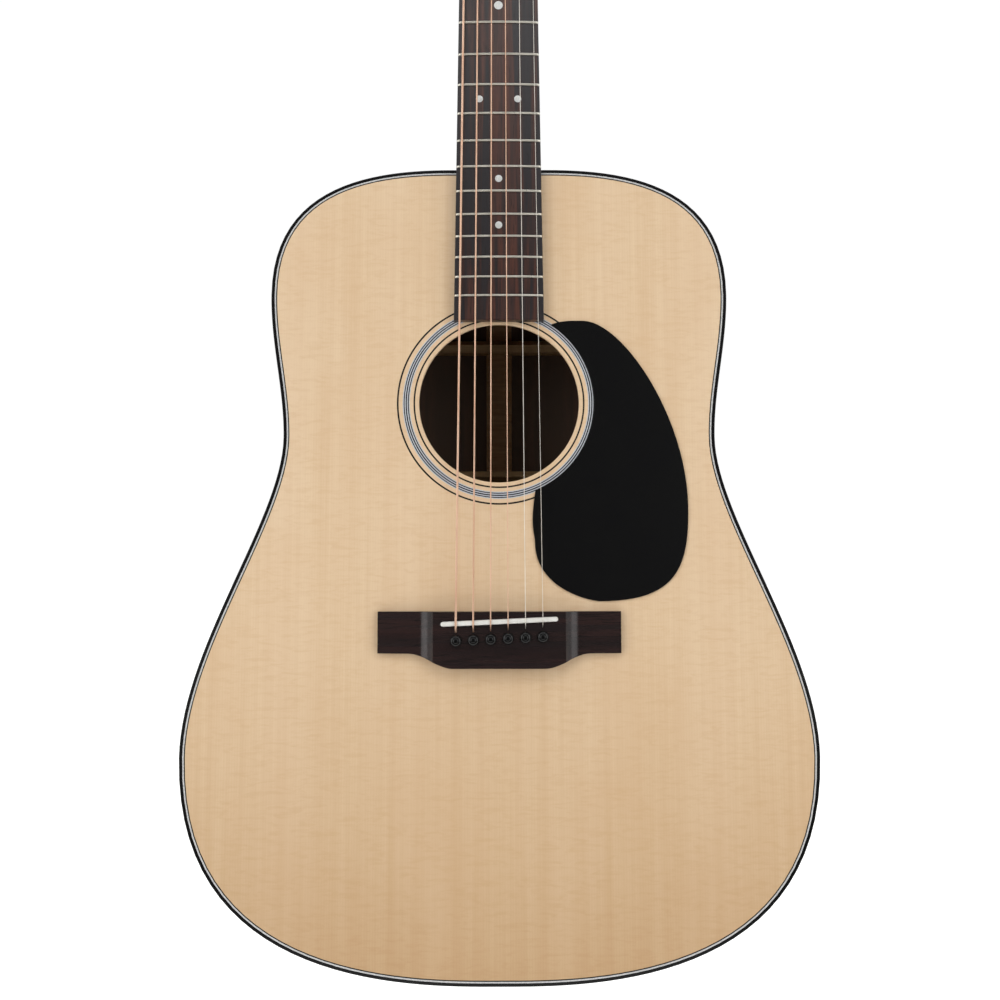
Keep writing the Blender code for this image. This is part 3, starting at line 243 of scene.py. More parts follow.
def quarter_round(radius):
    """Steps round a corner, as (distance in from the side, distance down from the face)."""
    angles = [radians(15 * i) for i in range(7)]
    return [(radius * (1 - sin(a)), radius * (1 - cos(a))) for a in angles]


def mirror(points):
    """The points in reverse order, on the other side of the middle line."""
    return [Vector((-point.x, point.y)) for point in points[::-1]]


def fret_z(number):
    return -SCALE_LENGTH * (1 - 2 ** (-number / 12))


NECK_END_Z = fret_z(BODY_FRET)
NECK_FACE_Z = NECK_END_Z + 0.0006
BODY_MIDDLE_Z = (TAIL_Z + NECK_END_Z) / 2

BODY_KNOTS = (
    (0.0, TAIL_Z, 0, 0.0, 0.0500),
    (0.1983, SADDLE_Z - 0.0859, 90, 0.1400, 0.0677),
    (0.1367, SADDLE_Z + 0.1134, 90, 0.0512, 0.0307),
    (0.1459, SADDLE_Z + 0.2056, 90, 0.0319, 0.0935),
    (0.0, NECK_END_Z, 180, 0.0401, 0.0),
)
GUARD_KNOTS = (
    (0.0332, SADDLE_Z + 0.1857, 24, 0.0, 0.0070),
    (0.0535, SADDLE_Z + 0.1882, 0, 0.0070, 0.0249),
    (0.1190, SADDLE_Z + 0.0689, -90, 0.0579, 0.0375),
    (0.0631, SADDLE_Z + 0.0099, 180, 0.0485, 0.0054),
    (0.0224, SADDLE_Z + 0.0472, 90, 0.0303, 0.0052),
    (0.0228, SADDLE_Z + 0.0792, 81, 0.0240, 0.0),
)
HEAD_KNOTS = (
    (0.02225, -0.0040, 90, 0.0, 0.0080),
    (0.0300, 0.0260, 78, 0.0100, 0.0300),
    (0.0365, 0.1500, 90, 0.0300, 0.0110),
    (0.0, 0.1680, 180, 0.0240, 0.0),
)


def body_half():
    """Half the outline, tail to neck, as (point, inward normal)."""
    return [(point, Vector((-way.y, way.x))) for point, way in knot_path(BODY_KNOTS, SPAN_STEPS)]


def from_x(path, limit):
    for i, (near, far) in enumerate(zip(path, path[1:])):
        if far[0].x > limit:
            t = max(0.0, (limit - near[0].x) / (far[0].x - near[0].x))
            return [(near[0].lerp(far[0], t), near[1].lerp(far[1], t))] + path[i + 1:]
    return path


def part_of_half(tail_x, neck_x):
    return from_x(from_x(body_half(), tail_x)[::-1], neck_x)[::-1]


def body_loop(distance):
    half = [point + normal * distance for point, normal in body_half()]
    return half + mirror(half[1:-1])


def back_y(x, z):
    along = z - BODY_MIDDLE_Z
    length = NECK_END_Z - TAIL_Z
    middle = (DEPTH_AT_NECK + DEPTH_AT_TAIL) / 2 + (length / 2) ** 2 / (2 * BACK_RADIUS)
    taper = (DEPTH_AT_TAIL - DEPTH_AT_NECK) / length
    return middle - taper * along - (x * x + along * along) / (2 * BACK_RADIUS)


def crown(x):
    return x * x / (2 * CROSS_RADIUS)


def crowned_top(half, height, steps):
    """Points across a surface that bows like the fingerboard, from treble to bass."""
    return [(x, -height + crown(x)) for x in evenly(half, -half, steps)]


def board_half_width(z):
    return NUT_WIDTH / 2 - FINGERBOARD_TAPER * z / 2


def string_x(number, spread):
    return spread / 2 - number * spread / (len(STRING_DIAMETERS) - 1)


def saddle_z(x):
    return SADDLE_Z - SADDLE_COMPENSATION + x * tan(SADDLE_TILT)


def pin_places():
    across = [string_x(number, SADDLE_SPREAD) for number in range(len(STRING_DIAMETERS))]
    return [(x, saddle_z(x) - PIN_SETBACK) for x in across]


def tuner_places():
    """(side, up, out) for each string's machine; side is +1 on the treble side."""
    treble = [(1, up, out) for up, out in TUNER_ROWS]
    return treble + [(-1, up, out) for up, out in TUNER_ROWS[::-1]]


# ---- mesh building

def shift(x, y, z):
    return Matrix.Translation((x, y, z))


def mesh_from(shape, name):
    bmesh.ops.recalc_face_normals(shape, faces=shape.faces)
    mesh = bpy.data.meshes.new(name)
    shape.to_mesh(mesh)
    shape.free()
    return mesh


def add_loft(shape, sections, closed=False):
    rings = [[shape.verts.new(point) for point in section] for section in sections]
    count = len(rings[0])
    pairs = list(zip(rings, rings[1:]))
    if closed:
        pairs.append((rings[-1], rings[0]))
    else:
        shape.faces.new(rings[0])
        shape.faces.new(rings[-1])
    for near, far in pairs:
        for i in range(count):
            j = (i + 1) % count
            shape.faces.new((near[i], near[j], far[j], far[i]))
    return rings


def loft(name, sections, closed=False):
    shape = bmesh.new()
    add_loft(shape, sections, closed)
    return mesh_from(shape, name)


def placed(name, data):
    made = bpy.data.objects.new(name, data)
    bpy.context.scene.collection.objects.link(made)
    return made


def modified(data, *steps):
    """The mesh of an object with this data, after modifiers given as (kind, settings)."""
    holder = placed("passing", data)
    for kind, settings in steps:
        modifier = holder.modifiers.new(kind, kind)
        for key, value in settings.items():
            setattr(modifier, key, value)
    bpy.context.view_layer.update()
    final = holder.evaluated_get(bpy.context.evaluated_depsgraph_get())
    made = bpy.data.meshes.new_from_object(final)
    bpy.data.objects.remove(holder, do_unlink=True)
    return made


def curve_mesh(name, routes, closed, **settings):
    """The mesh of a curve through the routes, with the curve's own settings."""
    curve = bpy.data.curves.new(name, "CURVE")
    for key, value in settings.items():
        setattr(curve, key, value)
    for route in routes:
        spline = curve.splines.new("POLY")
        spline.points.add(len(route) - 1)
        for point, place in zip(spline.points, route):
            point.co = (*Vector(place).to_3d(), 1)
        spline.use_cyclic_u = closed
    shape = bmesh.new()
    shape.from_mesh(modified(curve))
    bmesh.ops.remove_doubles(shape, verts=shape.verts, dist=0.000005)
    bmesh.ops.dissolve_degenerate(shape, edges=shape.edges, dist=0.00001)
    return mesh_from(shape, name)


def plate(name, loops, thickness, bevel=0.0):
    """A flat piece in the XY plane, its first loop the edge and the others holes."""
    return curve_mesh(name, loops, True, dimensions="2D", fill_mode="BOTH",
                      extrude=thickness / 2 - bevel, bevel_depth=bevel, bevel_resolution=2,
                      offset=-bevel)


def tube(name, route, radius):
    return curve_mesh(name, [route], False, dimensions="3D", bevel_depth=radius,
                      bevel_resolution=3, use_fill_caps=True)


def boolean(mesh, steps):
    """The mesh after each (operation, other mesh) in turn."""
    others = [placed("other", other) for _, other in steps]
    cuts = [("BOOLEAN", {"operation": operation, "object": other})
            for (operation, _), other in zip(steps, others)]
    made = modified(mesh, *cuts)
    for other in others:
        bpy.data.objects.remove(other, do_unlink=True)
    return made


def without(mesh, tools):
    return boolean(mesh, [("DIFFERENCE", tool) for tool in tools])


def bevelled(mesh, width, segments=3, angle=50):
    return modified(mesh, ("BEVEL", {"width": width, "segments": segments,
                                     "limit_method": "ANGLE", "angle_limit": radians(angle)}))


def moved(mesh, matrix):
    mesh.transform(matrix)
    if matrix.determinant() < 0:
        mesh.flip_normals()
    return mesh


def facing(mesh, y, x=0, z=0):
    """A flat piece stood up, its +Z turned to -Y."""
    return moved(mesh, shift(x, y, z) @ FACE_ON)


def cylinder(start, end, radius, segments=32):
    shape = bmesh.new()
    axis = Vector(end) - Vector(start)
    turn = axis.to_track_quat("Z", "Y").to_matrix().to_4x4()
    middle = Matrix.Translation((Vector(start) + Vector(end)) / 2)
    bmesh.ops.create_cone(shape, cap_ends=True, segments=segments, radius1=radius,
                          radius2=radius, depth=axis.length, matrix=middle @ turn)
    return mesh_from(shape, "cylinder")


def box(low, high):
    shape = bmesh.new()
    low, high = Vector(low), Vector(high)
    size = Matrix.Diagonal((*(high - low), 1))
    bmesh.ops.create_cube(shape, size=1, matrix=Matrix.Translation((low + high) / 2) @ size)
    return mesh_from(shape, "box")


def around(section, segments):
    """A section of (radius, z), repeated round Z."""
    angles = [2 * pi * step / segments for step in range(segments)]
    return [[(r * cos(angle), r * sin(angle), z) for r, z in section] for angle in angles]


def turned(profile, segments=48):
    """A round piece about Z, from a profile of (radius, z) that starts and ends on the axis."""
    shape = bmesh.new()
    sections = around(profile[1:-1], segments)
    rings = [[shape.verts.new(point) for point in section] for section in sections]
    top = shape.verts.new((0, 0, profile[0][1]))
    bottom = shape.verts.new((0, 0, profile[-1][1]))
    for near, far in zip(rings, rings[1:] + rings[:1]):
        shape.faces.new((top, near[0], far[0]))
        shape.faces.new((bottom, near[-1], far[-1]))
        for i in range(len(near) - 1):
            shape.faces.new((near[i], near[i + 1], far[i + 1], far[i]))
    return mesh_from(shape, "turned")


def merged(meshes):
    shape = bmesh.new()
    for mesh in meshes:
        shape.from_mesh(mesh)
    made = bpy.data.meshes.new("merged")
    shape.to_mesh(made)
    shape.free()
    return made


def piece(name, mesh, look, node=None, body="guitar", sharp=35):
    """Put a mesh in the scene as one piece that rides on a CAD body and may stand for a CAD node.

    Its shading is smooth, with broad flat faces kept flat up to their rounded edges.
    """
    material, usual_slot = LOOKS[look]
    mesh.shade_smooth()
    mesh.set_sharp_from_angle(angle=radians(sharp))
    mesh = modified(mesh, ("WEIGHTED_NORMAL", {"keep_sharp": True}))
    mesh.materials.clear()
    mesh.materials.append(material)
    made = placed(name, mesh)
    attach(made, body)
    if node:
        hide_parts(node)


# ---- materials

def grey(level):
    return (level, level, level, 1)


def display(colour):
    """Display values from 0 to 255 as a linear colour; anything but a triple stays as it is."""
    if not isinstance(colour, tuple) or len(colour) != 3:
        return colour
    shares = [value / 255 for value in colour]
    return (*(v / 12.92 if v <= 0.04045 else ((v + 0.055) / 1.055) ** 2.4 for v in shares), 1.0)


def add_node(tree, kind, feeds=(), **settings):
    """A new node; each feed is an input and the socket or the value that it takes."""
    node = tree.nodes.new("ShaderNode" + kind)
    for key, value in settings.items():
        setattr(node, key, value)
    for key, value in feeds:
        if isinstance(value, bpy.types.NodeSocket):
            tree.links.new(value, node.inputs[key])
        else:
            node.inputs[key].default_value = value
    return node


class Look:
    """A Principled material, with short calls that add nodes to it and layers to its colour."""

    def __init__(self, name, slot, specular=0.5, **constants):
        self.name, self.slot, self.colour = name, slot, None
        self.material = bpy.data.materials.new(name)
        self.material.use_nodes = True
        self.tree = self.material.node_tree
        self.shader = self.tree.nodes["Principled BSDF"]
        self.shader.inputs["Specular IOR Level"].default_value = specular
        for socket, value in constants.items():
            self.shader.inputs[socket.replace("_", " ")].default_value = value

    def add(self, kind, feeds=(), **settings):
        return add_node(self.tree, kind, feeds, **settings)

    def where(self, stretch=(1, 1, 1), turn=(0, 0, 0), source="Object"):
        """Texture coordinates: an axis with a small stretch runs along the grain."""
        place = self.add("TexCoord").outputs[source]
        feeds = [("Vector", place), ("Scale", stretch), ("Rotation", turn)]
        return self.add("Mapping", feeds).outputs[0]

    def split(self, source="Object"):
        return self.add("SeparateXYZ", [(0, self.add("TexCoord").outputs[source])]).outputs

    def grain(self, way, stretch):
        """Coordinates for grain that runs along X, Z, matched halves up Z, or a rib's own length."""
        if way == "matched":
            return self.mirrored((1, 1, stretch))
        if way == "rib":
            return self.where((stretch, 1, 1), source="UV")
        return self.where((1, 1, stretch) if way == "Z" else (stretch, 1, 1))

    def mirrored(self, stretch):
        """Coordinates that mirror at the middle line, as two matched halves of one plank do."""
        x, y, z = self.split()
        joined = self.add("CombineXYZ", [(0, self.maths("ABSOLUTE", x)), (1, y), (2, z)]).outputs[0]
        return self.add("Mapping", [("Vector", joined), ("Scale", stretch)]).outputs[0]

    def noise(self, place, scale, detail=3.0, roughness=0.5, distortion=0.0):
        """Noise at a coordinate, or at one stretched by three numbers."""
        vector = self.where(place) if isinstance(place, tuple) else place
        feeds = [("Vector", vector), ("Scale", scale), ("Detail", detail),
                 ("Roughness", roughness), ("Distortion", distortion)]
        return self.add("TexNoise", feeds).outputs[0]

    def bands(self, vector, scale, distortion, direction, detail, detail_scale=1.0):
        feeds = [("Vector", vector), ("Scale", scale), ("Distortion", distortion),
                 ("Detail", detail), ("Detail Scale", detail_scale)]
        return self.add("TexWave", feeds, bands_direction=direction).outputs[1]

    def ramp(self, factor, *stops):
        """A run through (position, grey level or display colour)."""
        node = self.add("ValToRGB", [(0, factor)])
        elements = node.color_ramp.elements
        while len(elements) < len(stops):
            elements.new(1.0)
        for element, (position, colour) in zip(elements, stops):
            element.position = position
            element.color = display(colour) if isinstance(colour, tuple) else grey(colour)
        return node.outputs[0]

    def gloss(self, mask, least, most):
        """A roughness that follows a mask."""
        return self.ramp(mask, (0.3, least), (0.7, most))

    def mix(self, factor, first, second, blend="MIX"):
        feeds = [(0, factor), (6, display(first)), (7, display(second))]
        return self.add("Mix", feeds, data_type="RGBA", blend_type=blend).outputs[2]

    def layer(self, mask, low, high, strength, colour):
        """Lay a colour on, from nothing where the mask is low to strength where it is high."""
        self.colour = self.mix(self.ramp(mask, (low, 0.0), (high, strength)), self.colour, colour)

    def maths(self, operation, first, second=0.0):
        return self.add("Math", [(0, first), (1, second)], operation=operation).outputs[0]

    def share(self, value, low, high):
        """How far a value has come from low to high, from 0 to 1."""
        feeds = [("Value", value), ("From Min", low), ("From Max", high)]
        return self.add("MapRange", feeds).outputs[0]

    def finish(self, rough=None, bump=None):
        """Join up the colour, the roughness and a bump of (height, depth, strength); keep it."""
        self.tree.links.new(self.colour, self.shader.inputs["Base Color"])
        if rough:
            self.tree.links.new(rough, self.shader.inputs["Roughness"])
        if bump:
            node = self.add("Bump", zip(("Height", "Distance", "Strength"), bump))
            self.tree.links.new(node.outputs[0], self.shader.inputs["Normal"])
        LOOKS[self.name] = self.material, self.slot


def spruce_top():
    """Book-matched spruce: fine upright grain, a faint silk across it, satin lacquer, and painted shade
    that darkens it towards the tail.
    """
    look = Look("spruce_top", "spruce_top", 0.30)
    grain = look.mirrored((1, 1, 0.020))
    rings = look.bands(grain, 190, 5.5, "X", 3, 30)
    streaks = look.noise(grain, 130, 3, 0.6)
    broad = look.noise(look.mirrored((1, 1, 0.12)), 26, 2)
    silk = look.noise((0.22, 1, 1), 330, 3, 0.65, 0.6)
    patches = look.noise((1, 1, 0.8), 16, 2)
    light_rings = look.ramp(rings, (0.0, 0.17), (0.75, 0.0))
    look.colour = look.mix(light_rings, (229, 202, 167), (206, 171, 130))
    look.layer(streaks, 0.38, 0.72, 0.55, (213, 178, 138))
    look.layer(broad, 0.36, 0.68, 0.40, (233, 206, 174))
    look.layer(silk, 0.47, 0.66, 0.30, (210, 174, 132))
    look.layer(patches, 0.42, 0.70, 0.22, (216, 180, 140))
    # painted shade: the top turns darker and warmer towards the tail, standing in for light that falls
    # off down the body
    tail_shade = look.maths("POWER", look.share(look.split()[2], -0.55, TAIL_Z), 2.0)
    shaded_tone = look.mix(1.0, look.colour, (0.70, 0.62, 0.52, 1), "MULTIPLY")
    look.colour = look.mix(tail_shade, look.colour, shaded_tone)
    rough = look.gloss(look.noise((1, 1, 1), 60), 0.36, 0.44)
    look.finish(rough, (rings, 0.00002, 0.35))


def raw_spruce(name, stretch, tint=(1.0, 1.0, 1.0)):
    """Bare spruce for the braces, with its grain along the axis of the smallest stretch."""
    look = Look(name, "brace_spruce", 0.2)
    streaks = look.noise(stretch, 420, 3, 0.6)
    look.colour = (208, 176, 132)
    look.layer(streaks, 0.35, 0.65, 0.8, (182, 146, 102))
    look.layer(look.noise((1, 1, 1), 22, 2), 0.35, 0.7, 0.35, (184, 150, 108))
    look.colour = look.mix(1.0, look.colour, (*tint, 1), "MULTIPLY")
    look.finish(look.gloss(streaks, 0.60, 0.75), (streaks, 0.00008, 0.5))


def rosewood(name, slot, way, gloss, colours, specular=0.5, bare_inside=False):
    """Dark rosewood: wandering near-black lines on brown, with fine open pores."""
    look = Look(name, slot, specular)
    light, mid, dark = colours
    wide = look.noise(look.grain(way, 0.10), 62, 4, 0.55, 0.5)
    lines = look.noise(look.grain(way, 0.035), 210, 4, 0.6, 0.4)
    pores = look.noise(look.grain(way, 0.05), 900, 2, 0.7)
    look.colour = look.ramp(wide, (0.30, dark), (0.46, mid), (0.62, light), (0.80, mid))
    look.layer(lines, 0.44, 0.62, 0.85, dark)
    look.layer(pores, 0.56, 0.66, 0.75, (12, 8, 7))
    rough = look.gloss(lines, gloss, gloss + 0.10)
    if bare_inside:
        inside = look.maths("LESS_THAN", look.split("Normal")[1])
        rough = look.mix(inside, rough, grey(0.8))
        look.colour = look.mix(inside, look.colour, look.mix(0.6, look.colour, (118, 98, 82)))
    look.finish(rough, (look.ramp(pores, (0.56, 1.0), (0.68, 0.0)), 0.00002, 0.08))


def board_rosewood():
    """The fingerboard's bold stripes of reddish brown and near black."""
    look = Look("board_rosewood", "fingerboard_wood", 0.4)
    stripes = look.noise((1, 0.4, 0.035), 165, 3, 0.6, 0.35)
    side = look.add("SeparateXYZ", [(0, look.mirrored((9, 1, 1)))]).outputs[0]
    stripes = look.maths("SUBTRACT", look.maths("ADD", stripes, 0.06), side)
    lines = look.noise((1, 0.4, 0.02), 620, 3, 0.6)
    pores = look.noise((1, 1, 0.06), 1500, 2, 0.7)
    look.colour = look.ramp(stripes, (0.34, (38, 35, 38)), (0.41, (50, 35, 33)),
                            (0.50, (84, 50, 40)), (0.66, (60, 40, 35)))
    look.layer(lines, 0.42, 0.66, 0.60, (38, 32, 33))
    look.layer(pores, 0.58, 0.70, 0.65, (20, 15, 14))
    look.finish(look.gloss(lines, 0.30, 0.40), (pores, 0.00002, 0.1))


def mahogany():
    """Straight-grained reddish brown, with long pores under satin lacquer."""
    look = Look("mahogany", "mahogany", 0.4)
    broad = look.noise((1, 1, 0.10), 60, 3, 0.5, 0.3)
    lines = look.noise((1, 1, 0.03), 420, 3, 0.6)
    pores = look.noise((1, 1, 0.045), 1300, 2, 0.7)
    look.colour = look.ramp(broad, (0.32, (104, 56, 34)), (0.52, (126, 72, 44)),
                            (0.72, (112, 60, 37)))
    look.layer(lines, 0.42, 0.64, 0.45, (84, 43, 27))
    look.layer(pores, 0.57, 0.68, 0.80, (48, 24, 16))
    look.finish(look.gloss(broad, 0.30, 0.38), (pores, -0.00004, 0.4))


def lining_wood():
    look = Look("lining_wood", "maple", 0.2)
    grain = look.noise((1, 0.2, 1), 500, 3, 0.6)
    look.colour = look.mix(grain, (214, 190, 154), (186, 158, 120))
    look.finish(look.gloss(grain, 0.65, 0.78))


def plate_maple():
    look = Look("plate_maple", "maple", 0.25)
    curl = look.noise((1, 1, 0.25), 180, 3, 0.6, 0.8)
    look.colour = (216, 190, 150)
    look.layer(curl, 0.35, 0.65, 1.0, (192, 160, 118))
    look.layer(look.noise((0.04, 1, 1), 700, 2), 0.5, 0.7, 0.4, (168, 134, 96))
    look.finish(look.gloss(curl, 0.5, 0.62))


def black_plastic(name, slot, gloss, level, specular):
    """Polished plastic with the faint haze and hair scratches of handling."""
    look = Look(name, slot, specular)
    haze = look.noise((1, 1, 1), 38, 4, 0.6)
    hair = look.noise(look.where((0.04, 1, 1), (0, 0.5, 0)), 1600, 2)
    darker = max(1, level - 4)
    look.colour = (level, level, level)
    look.layer(haze, 0.35, 0.68, 1.0, (darker, darker, darker + 1))
    scratched = look.ramp(hair, (0.60, 0.0), (0.72, 1.0))
    rough = look.mix(scratched, look.gloss(haze, gloss, gloss + 0.05), grey(gloss + 0.05))
    look.finish(rough, (hair, 0.000002, 0.1))


def line_fibre(name, slot, light, dark):
    """The coloured fibre of a purfling or rosette line."""
    look = Look(name, slot, 0.3)
    flecks = look.noise((1, 1, 1), 900, 3, 0.65)
    look.colour = light
    look.layer(flecks, 0.35, 0.65, 1.0, dark)
    look.layer(look.noise((1, 1, 1), 45, 2), 0.4, 0.7, 0.3, dark)
    look.finish(look.gloss(flecks, 0.34, 0.44))


def bone():
    look = Look("bone", "bone", 0.45)
    cloud = look.noise((1, 1, 0.5), 190, 4, 0.6, 0.4)
    look.colour = (231, 231, 226)
    look.layer(cloud, 0.35, 0.7, 1.0, (214, 212, 203))
    look.layer(look.noise((0.15, 1, 1), 1800, 2), 0.60, 0.72, 0.35, (196, 184, 158))
    look.finish(look.gloss(cloud, 0.26, 0.36))


def pearl():
    """Mother of pearl: a grey-white that shifts a little towards pink, green and blue."""
    look = Look("pearl", "bone", 0.6, Coat_Weight=0.4, Coat_Roughness=0.08)
    swirl = look.noise((1, 1, 0.6), 420, 4, 0.6, 2.2)
    look.colour = look.ramp(swirl, (0.30, (176, 178, 176)), (0.44, (214, 214, 208)),
                            (0.54, (196, 202, 204)), (0.66, (228, 224, 218)),
                            (0.80, (190, 196, 190)))
    look.finish(look.gloss(swirl, 0.18, 0.30))


def metal(name, slot, light, dark, gloss):
    look = Look(name, slot, Metallic=1.0)
    cloud = look.noise((1, 1, 1), 130, 4, 0.6)
    grain = look.noise((1, 1, 0.08), 900, 3, 0.6)
    look.colour = light
    look.layer(cloud, 0.35, 0.7, 1.0, dark)
    brushed = look.ramp(grain, (0.45, 0.0), (0.68, 0.6))
    rough = look.mix(brushed, look.gloss(cloud, gloss, gloss + 0.08), grey(gloss + 0.18))
    look.finish(rough, (grain, 0.00001, 0.15))


def wound_bronze():
    """The wrapping of a wound string: a fine thread round the wire, every third of a millimetre."""
    look = Look("wound_bronze", "bronze_wire", Metallic=1.0)
    turns = look.bands(look.where(), 950, 0, "Z", 0)
    look.colour = (246, 210, 184)
    look.layer(look.noise((1, 1, 0.4), 90), 0.35, 0.7, 1.0, (228, 186, 158))
    # painted shade: the colour darkens in the grooves between the wrapping's turns
    groove_shade = look.ramp(turns, (0.0, 0.6), (0.35, 0.0))
    look.colour = look.mix(groove_shade, look.colour, (176, 124, 92))
    look.finish(look.ramp(turns, (0.0, 0.5), (0.5, 0.32)), (turns, 0.00006, 0.6))


def floor_paint():
    look = Look("floor_paint", None, 0.1, Roughness=0.8, Emission_Strength=0.6)
    look.colour = look.mix(look.noise((1, 1, 1), 3, 4), (246, 246, 245), (240, 240, 239))
    seen = look.add("LightPath").outputs["Is Camera Ray"]
    glow = look.maths("MAXIMUM", look.share(look.split()[1], -0.6, 0.6), seen)
    lit = look.mix(glow, grey(0), look.colour)
    look.tree.links.new(lit, look.shader.inputs["Emission Color"])
    look.finish()


def make_materials():
    """Make every look; the first name is the look's, the second its material slot."""
    body_browns = (92, 52, 36), (58, 32, 24), (22, 13, 11)
    head_browns = (80, 48, 36), (52, 31, 25), (22, 14, 12)
    bridge_browns = (43, 28, 26), (34, 22, 21), (25, 17, 17)
    rosewood("body_rosewood", "rosewood_body", "matched", 0.16, body_browns, bare_inside=True)
    rosewood("rib_rosewood", "rosewood_body", "rib", 0.16, body_browns)
    rosewood("head_rosewood", "rosewood_body", "Z", 0.18, head_browns)
    rosewood("bridge_rosewood", "bridge_wood", "X", 0.21, bridge_browns, 0.45)
    raw_spruce("brace_across", (0.04, 1, 1))
    raw_spruce("brace_up", (1, 1, 0.04))
    raw_spruce("strip_wood", (0.08, 1, 1), (1.0, 0.93, 0.95))
    black_plastic("binding", "black_plastic", 0.2, 6, 0.3)
    black_plastic("guard", "guard_plastic", 0.22, 15, 0.2)
    black_plastic("pin", "pin_plastic", 0.12, 5, 0.4)
    line_fibre("light_line", "bone", (214, 214, 212), (178, 178, 178))
    line_fibre("blue_line", "bone", (206, 209, 214), (178, 183, 190))
    line_fibre("dark_line", "black_plastic", (26, 21, 18), (14, 12, 12))
    metal("fret", "nickel", (226, 222, 210), (206, 202, 190), 0.26)
    metal("nickel", "nickel", (222, 220, 216), (200, 198, 194), 0.12)
    metal("screw", "nickel", (208, 206, 202), (178, 176, 172), 0.22)
    metal("steel", "rod_steel", (176, 176, 178), (136, 136, 140), 0.32)
    metal("plain_wire", "steel_wire", (244, 238, 228), (226, 220, 210), 0.36)
    metal("brass", "bronze_wire", (222, 186, 118), (196, 156, 92), 0.24)
    for make in (spruce_top, board_rosewood, mahogany, lining_wood, plate_maple, bone, pearl,
                 wound_bronze, floor_paint):
        make()


# ---- the sound box

def round_body(name, section, rear=False):
    """Sweep a section of (inset, depth) round the outline; depth is below the front or back face."""
    rings = []
    for point, normal in body_half():
        places = [(point + normal * distance, depth) for distance, depth in section]
        rings.append([(at.x, back_y(*at) - depth if rear else depth, at.y) for at, depth in places])
    rings += [[(-x, y, z) for x, y, z in ring] for ring in rings[-2:0:-1]]
    return loft(name, rings, closed=True)


def make_soundboard():
    """The flat top, and a ring that rounds the two edges of the sound hole."""
    edge, half = 0.0005, TOP_THICKNESS / 2
    loops = [body_loop(DARK_PURFLING), circle((0, HOLE_Z), HOLE_RADIUS + edge, 144)]
    loops += [circle(place, PIN_HOLE_RADIUS, 24) for place in pin_places()]
    rim = [(HOLE_RADIUS + out, half - down) for out, down in quarter_round(edge)]
    rim += [(radius, -depth) for radius, depth in rim[::-1]]
    ring = moved(loft("rim", around(rim, 144), closed=True), shift(0, HOLE_Z, 0))
    mesh = merged([plate("soundboard", loops, TOP_THICKNESS), ring])
    piece("spruce_soundboard", facing(mesh, half), "spruce_top", "soundboard")


def make_edges():
    """The bindings, with their outer corner rounded, and the lines inside them."""
    section = [(RIB_THICKNESS, BINDING_HEIGHT), (0.0, BINDING_HEIGHT)]
    section += quarter_round(0.0004)[::-1] + [(RIB_THICKNESS, 0.0)]
    piece("front_binding", round_body("front_binding", section), "binding", "top_binding")
    piece("rear_binding", round_body("rear_binding", section, True), "binding", "back_binding")
    depth = 0.0016
    for name, outer, inner, look, rear in (
            ("front_light_purfling", RIB_THICKNESS, LIGHT_PURFLING, "light_line", False),
            ("front_dark_purfling", LIGHT_PURFLING, DARK_PURFLING, "dark_line", False),
            ("rear_light_purfling", RIB_THICKNESS, BACK_PURFLING, "light_line", True)):
        section = [(outer, depth), (outer, -PROUD), (inner, -PROUD), (inner, depth)]
        piece(name, round_body(name, section, rear), look)


def make_ribs():
    """The sides; each keeps its length along the outline as a UV map, for its grain."""
    path = part_of_half(0.0001, TENON_HALF_WIDTH + 0.0003)
    lengths = [0.0]
    for (near, _), (far, _) in zip(path, path[1:]):
        lengths.append(lengths[-1] + (far - near).length)
    front = BINDING_HEIGHT + 0.00005
    for side, hand in HANDS:
        sections = []
        for point, normal in path:
            inner = point + normal * RIB_THICKNESS
            rear = back_y(*point) - front
            corners = (point, front), (point, rear), (inner, rear), (inner, front)
            sections.append([(side * at.x, y, at.y) for at, y in corners])
        shape = bmesh.new()
        rings = add_loft(shape, sections)
        along = {vertex: length for ring, length in zip(rings, lengths) for vertex in ring}
        layer = shape.loops.layers.uv.new("along_rib")
        for face in shape.faces:
            for corner in face.loops:
                corner[layer].uv = (along[corner.vert], corner.vert.co.y)
        name = "rosewood_rib_" + hand
        piece(name, mesh_from(shape, name), "rib_rosewood", "rib_" + hand)


def back_strip(name, low, high, steps, profile):
    """A strip up the back's middle, from a profile of (x, y from the back's outer face)."""
    return loft(name, [[(x, back_y(0, z) + y, z) for x, y in profile]
                       for z in evenly(low, high, steps)])


def make_back():
    rings = [(scale, BACK_THICKNESS) for scale in (0.05, 0.3, 0.55, 0.8, 1.0)]
    rings += [(scale, 0) for scale in (1.0, 0.9, 0.75, 0.6, 0.45, 0.3, 0.15, 0.05)]
    sections = []
    for scale, depth in rings:
        places = [(point.x * scale, BODY_MIDDLE_Z + (point.y - BODY_MIDDLE_Z) * scale)
                  for point in body_loop(BACK_PURFLING)]
        sections.append([(x, back_y(x, z) - depth, z) for x, z in places])
    piece("rosewood_back", loft("rosewood_back", sections), "body_rosewood", "back")
    low, high = TAIL_Z + BACK_PURFLING, NECK_END_Z - BACK_PURFLING
    for name, half, proud, look in (("back_strip_edges", 0.0032, PROUD, "light_line"),
                                    ("back_strip_middle", 0.0024, 2 * PROUD, "head_rosewood")):
        profile = [(-half, proud), (half, proud), (half, -0.0008), (-half, -0.0008)]
        piece(name, back_strip(name, low, high, 60, profile), look)


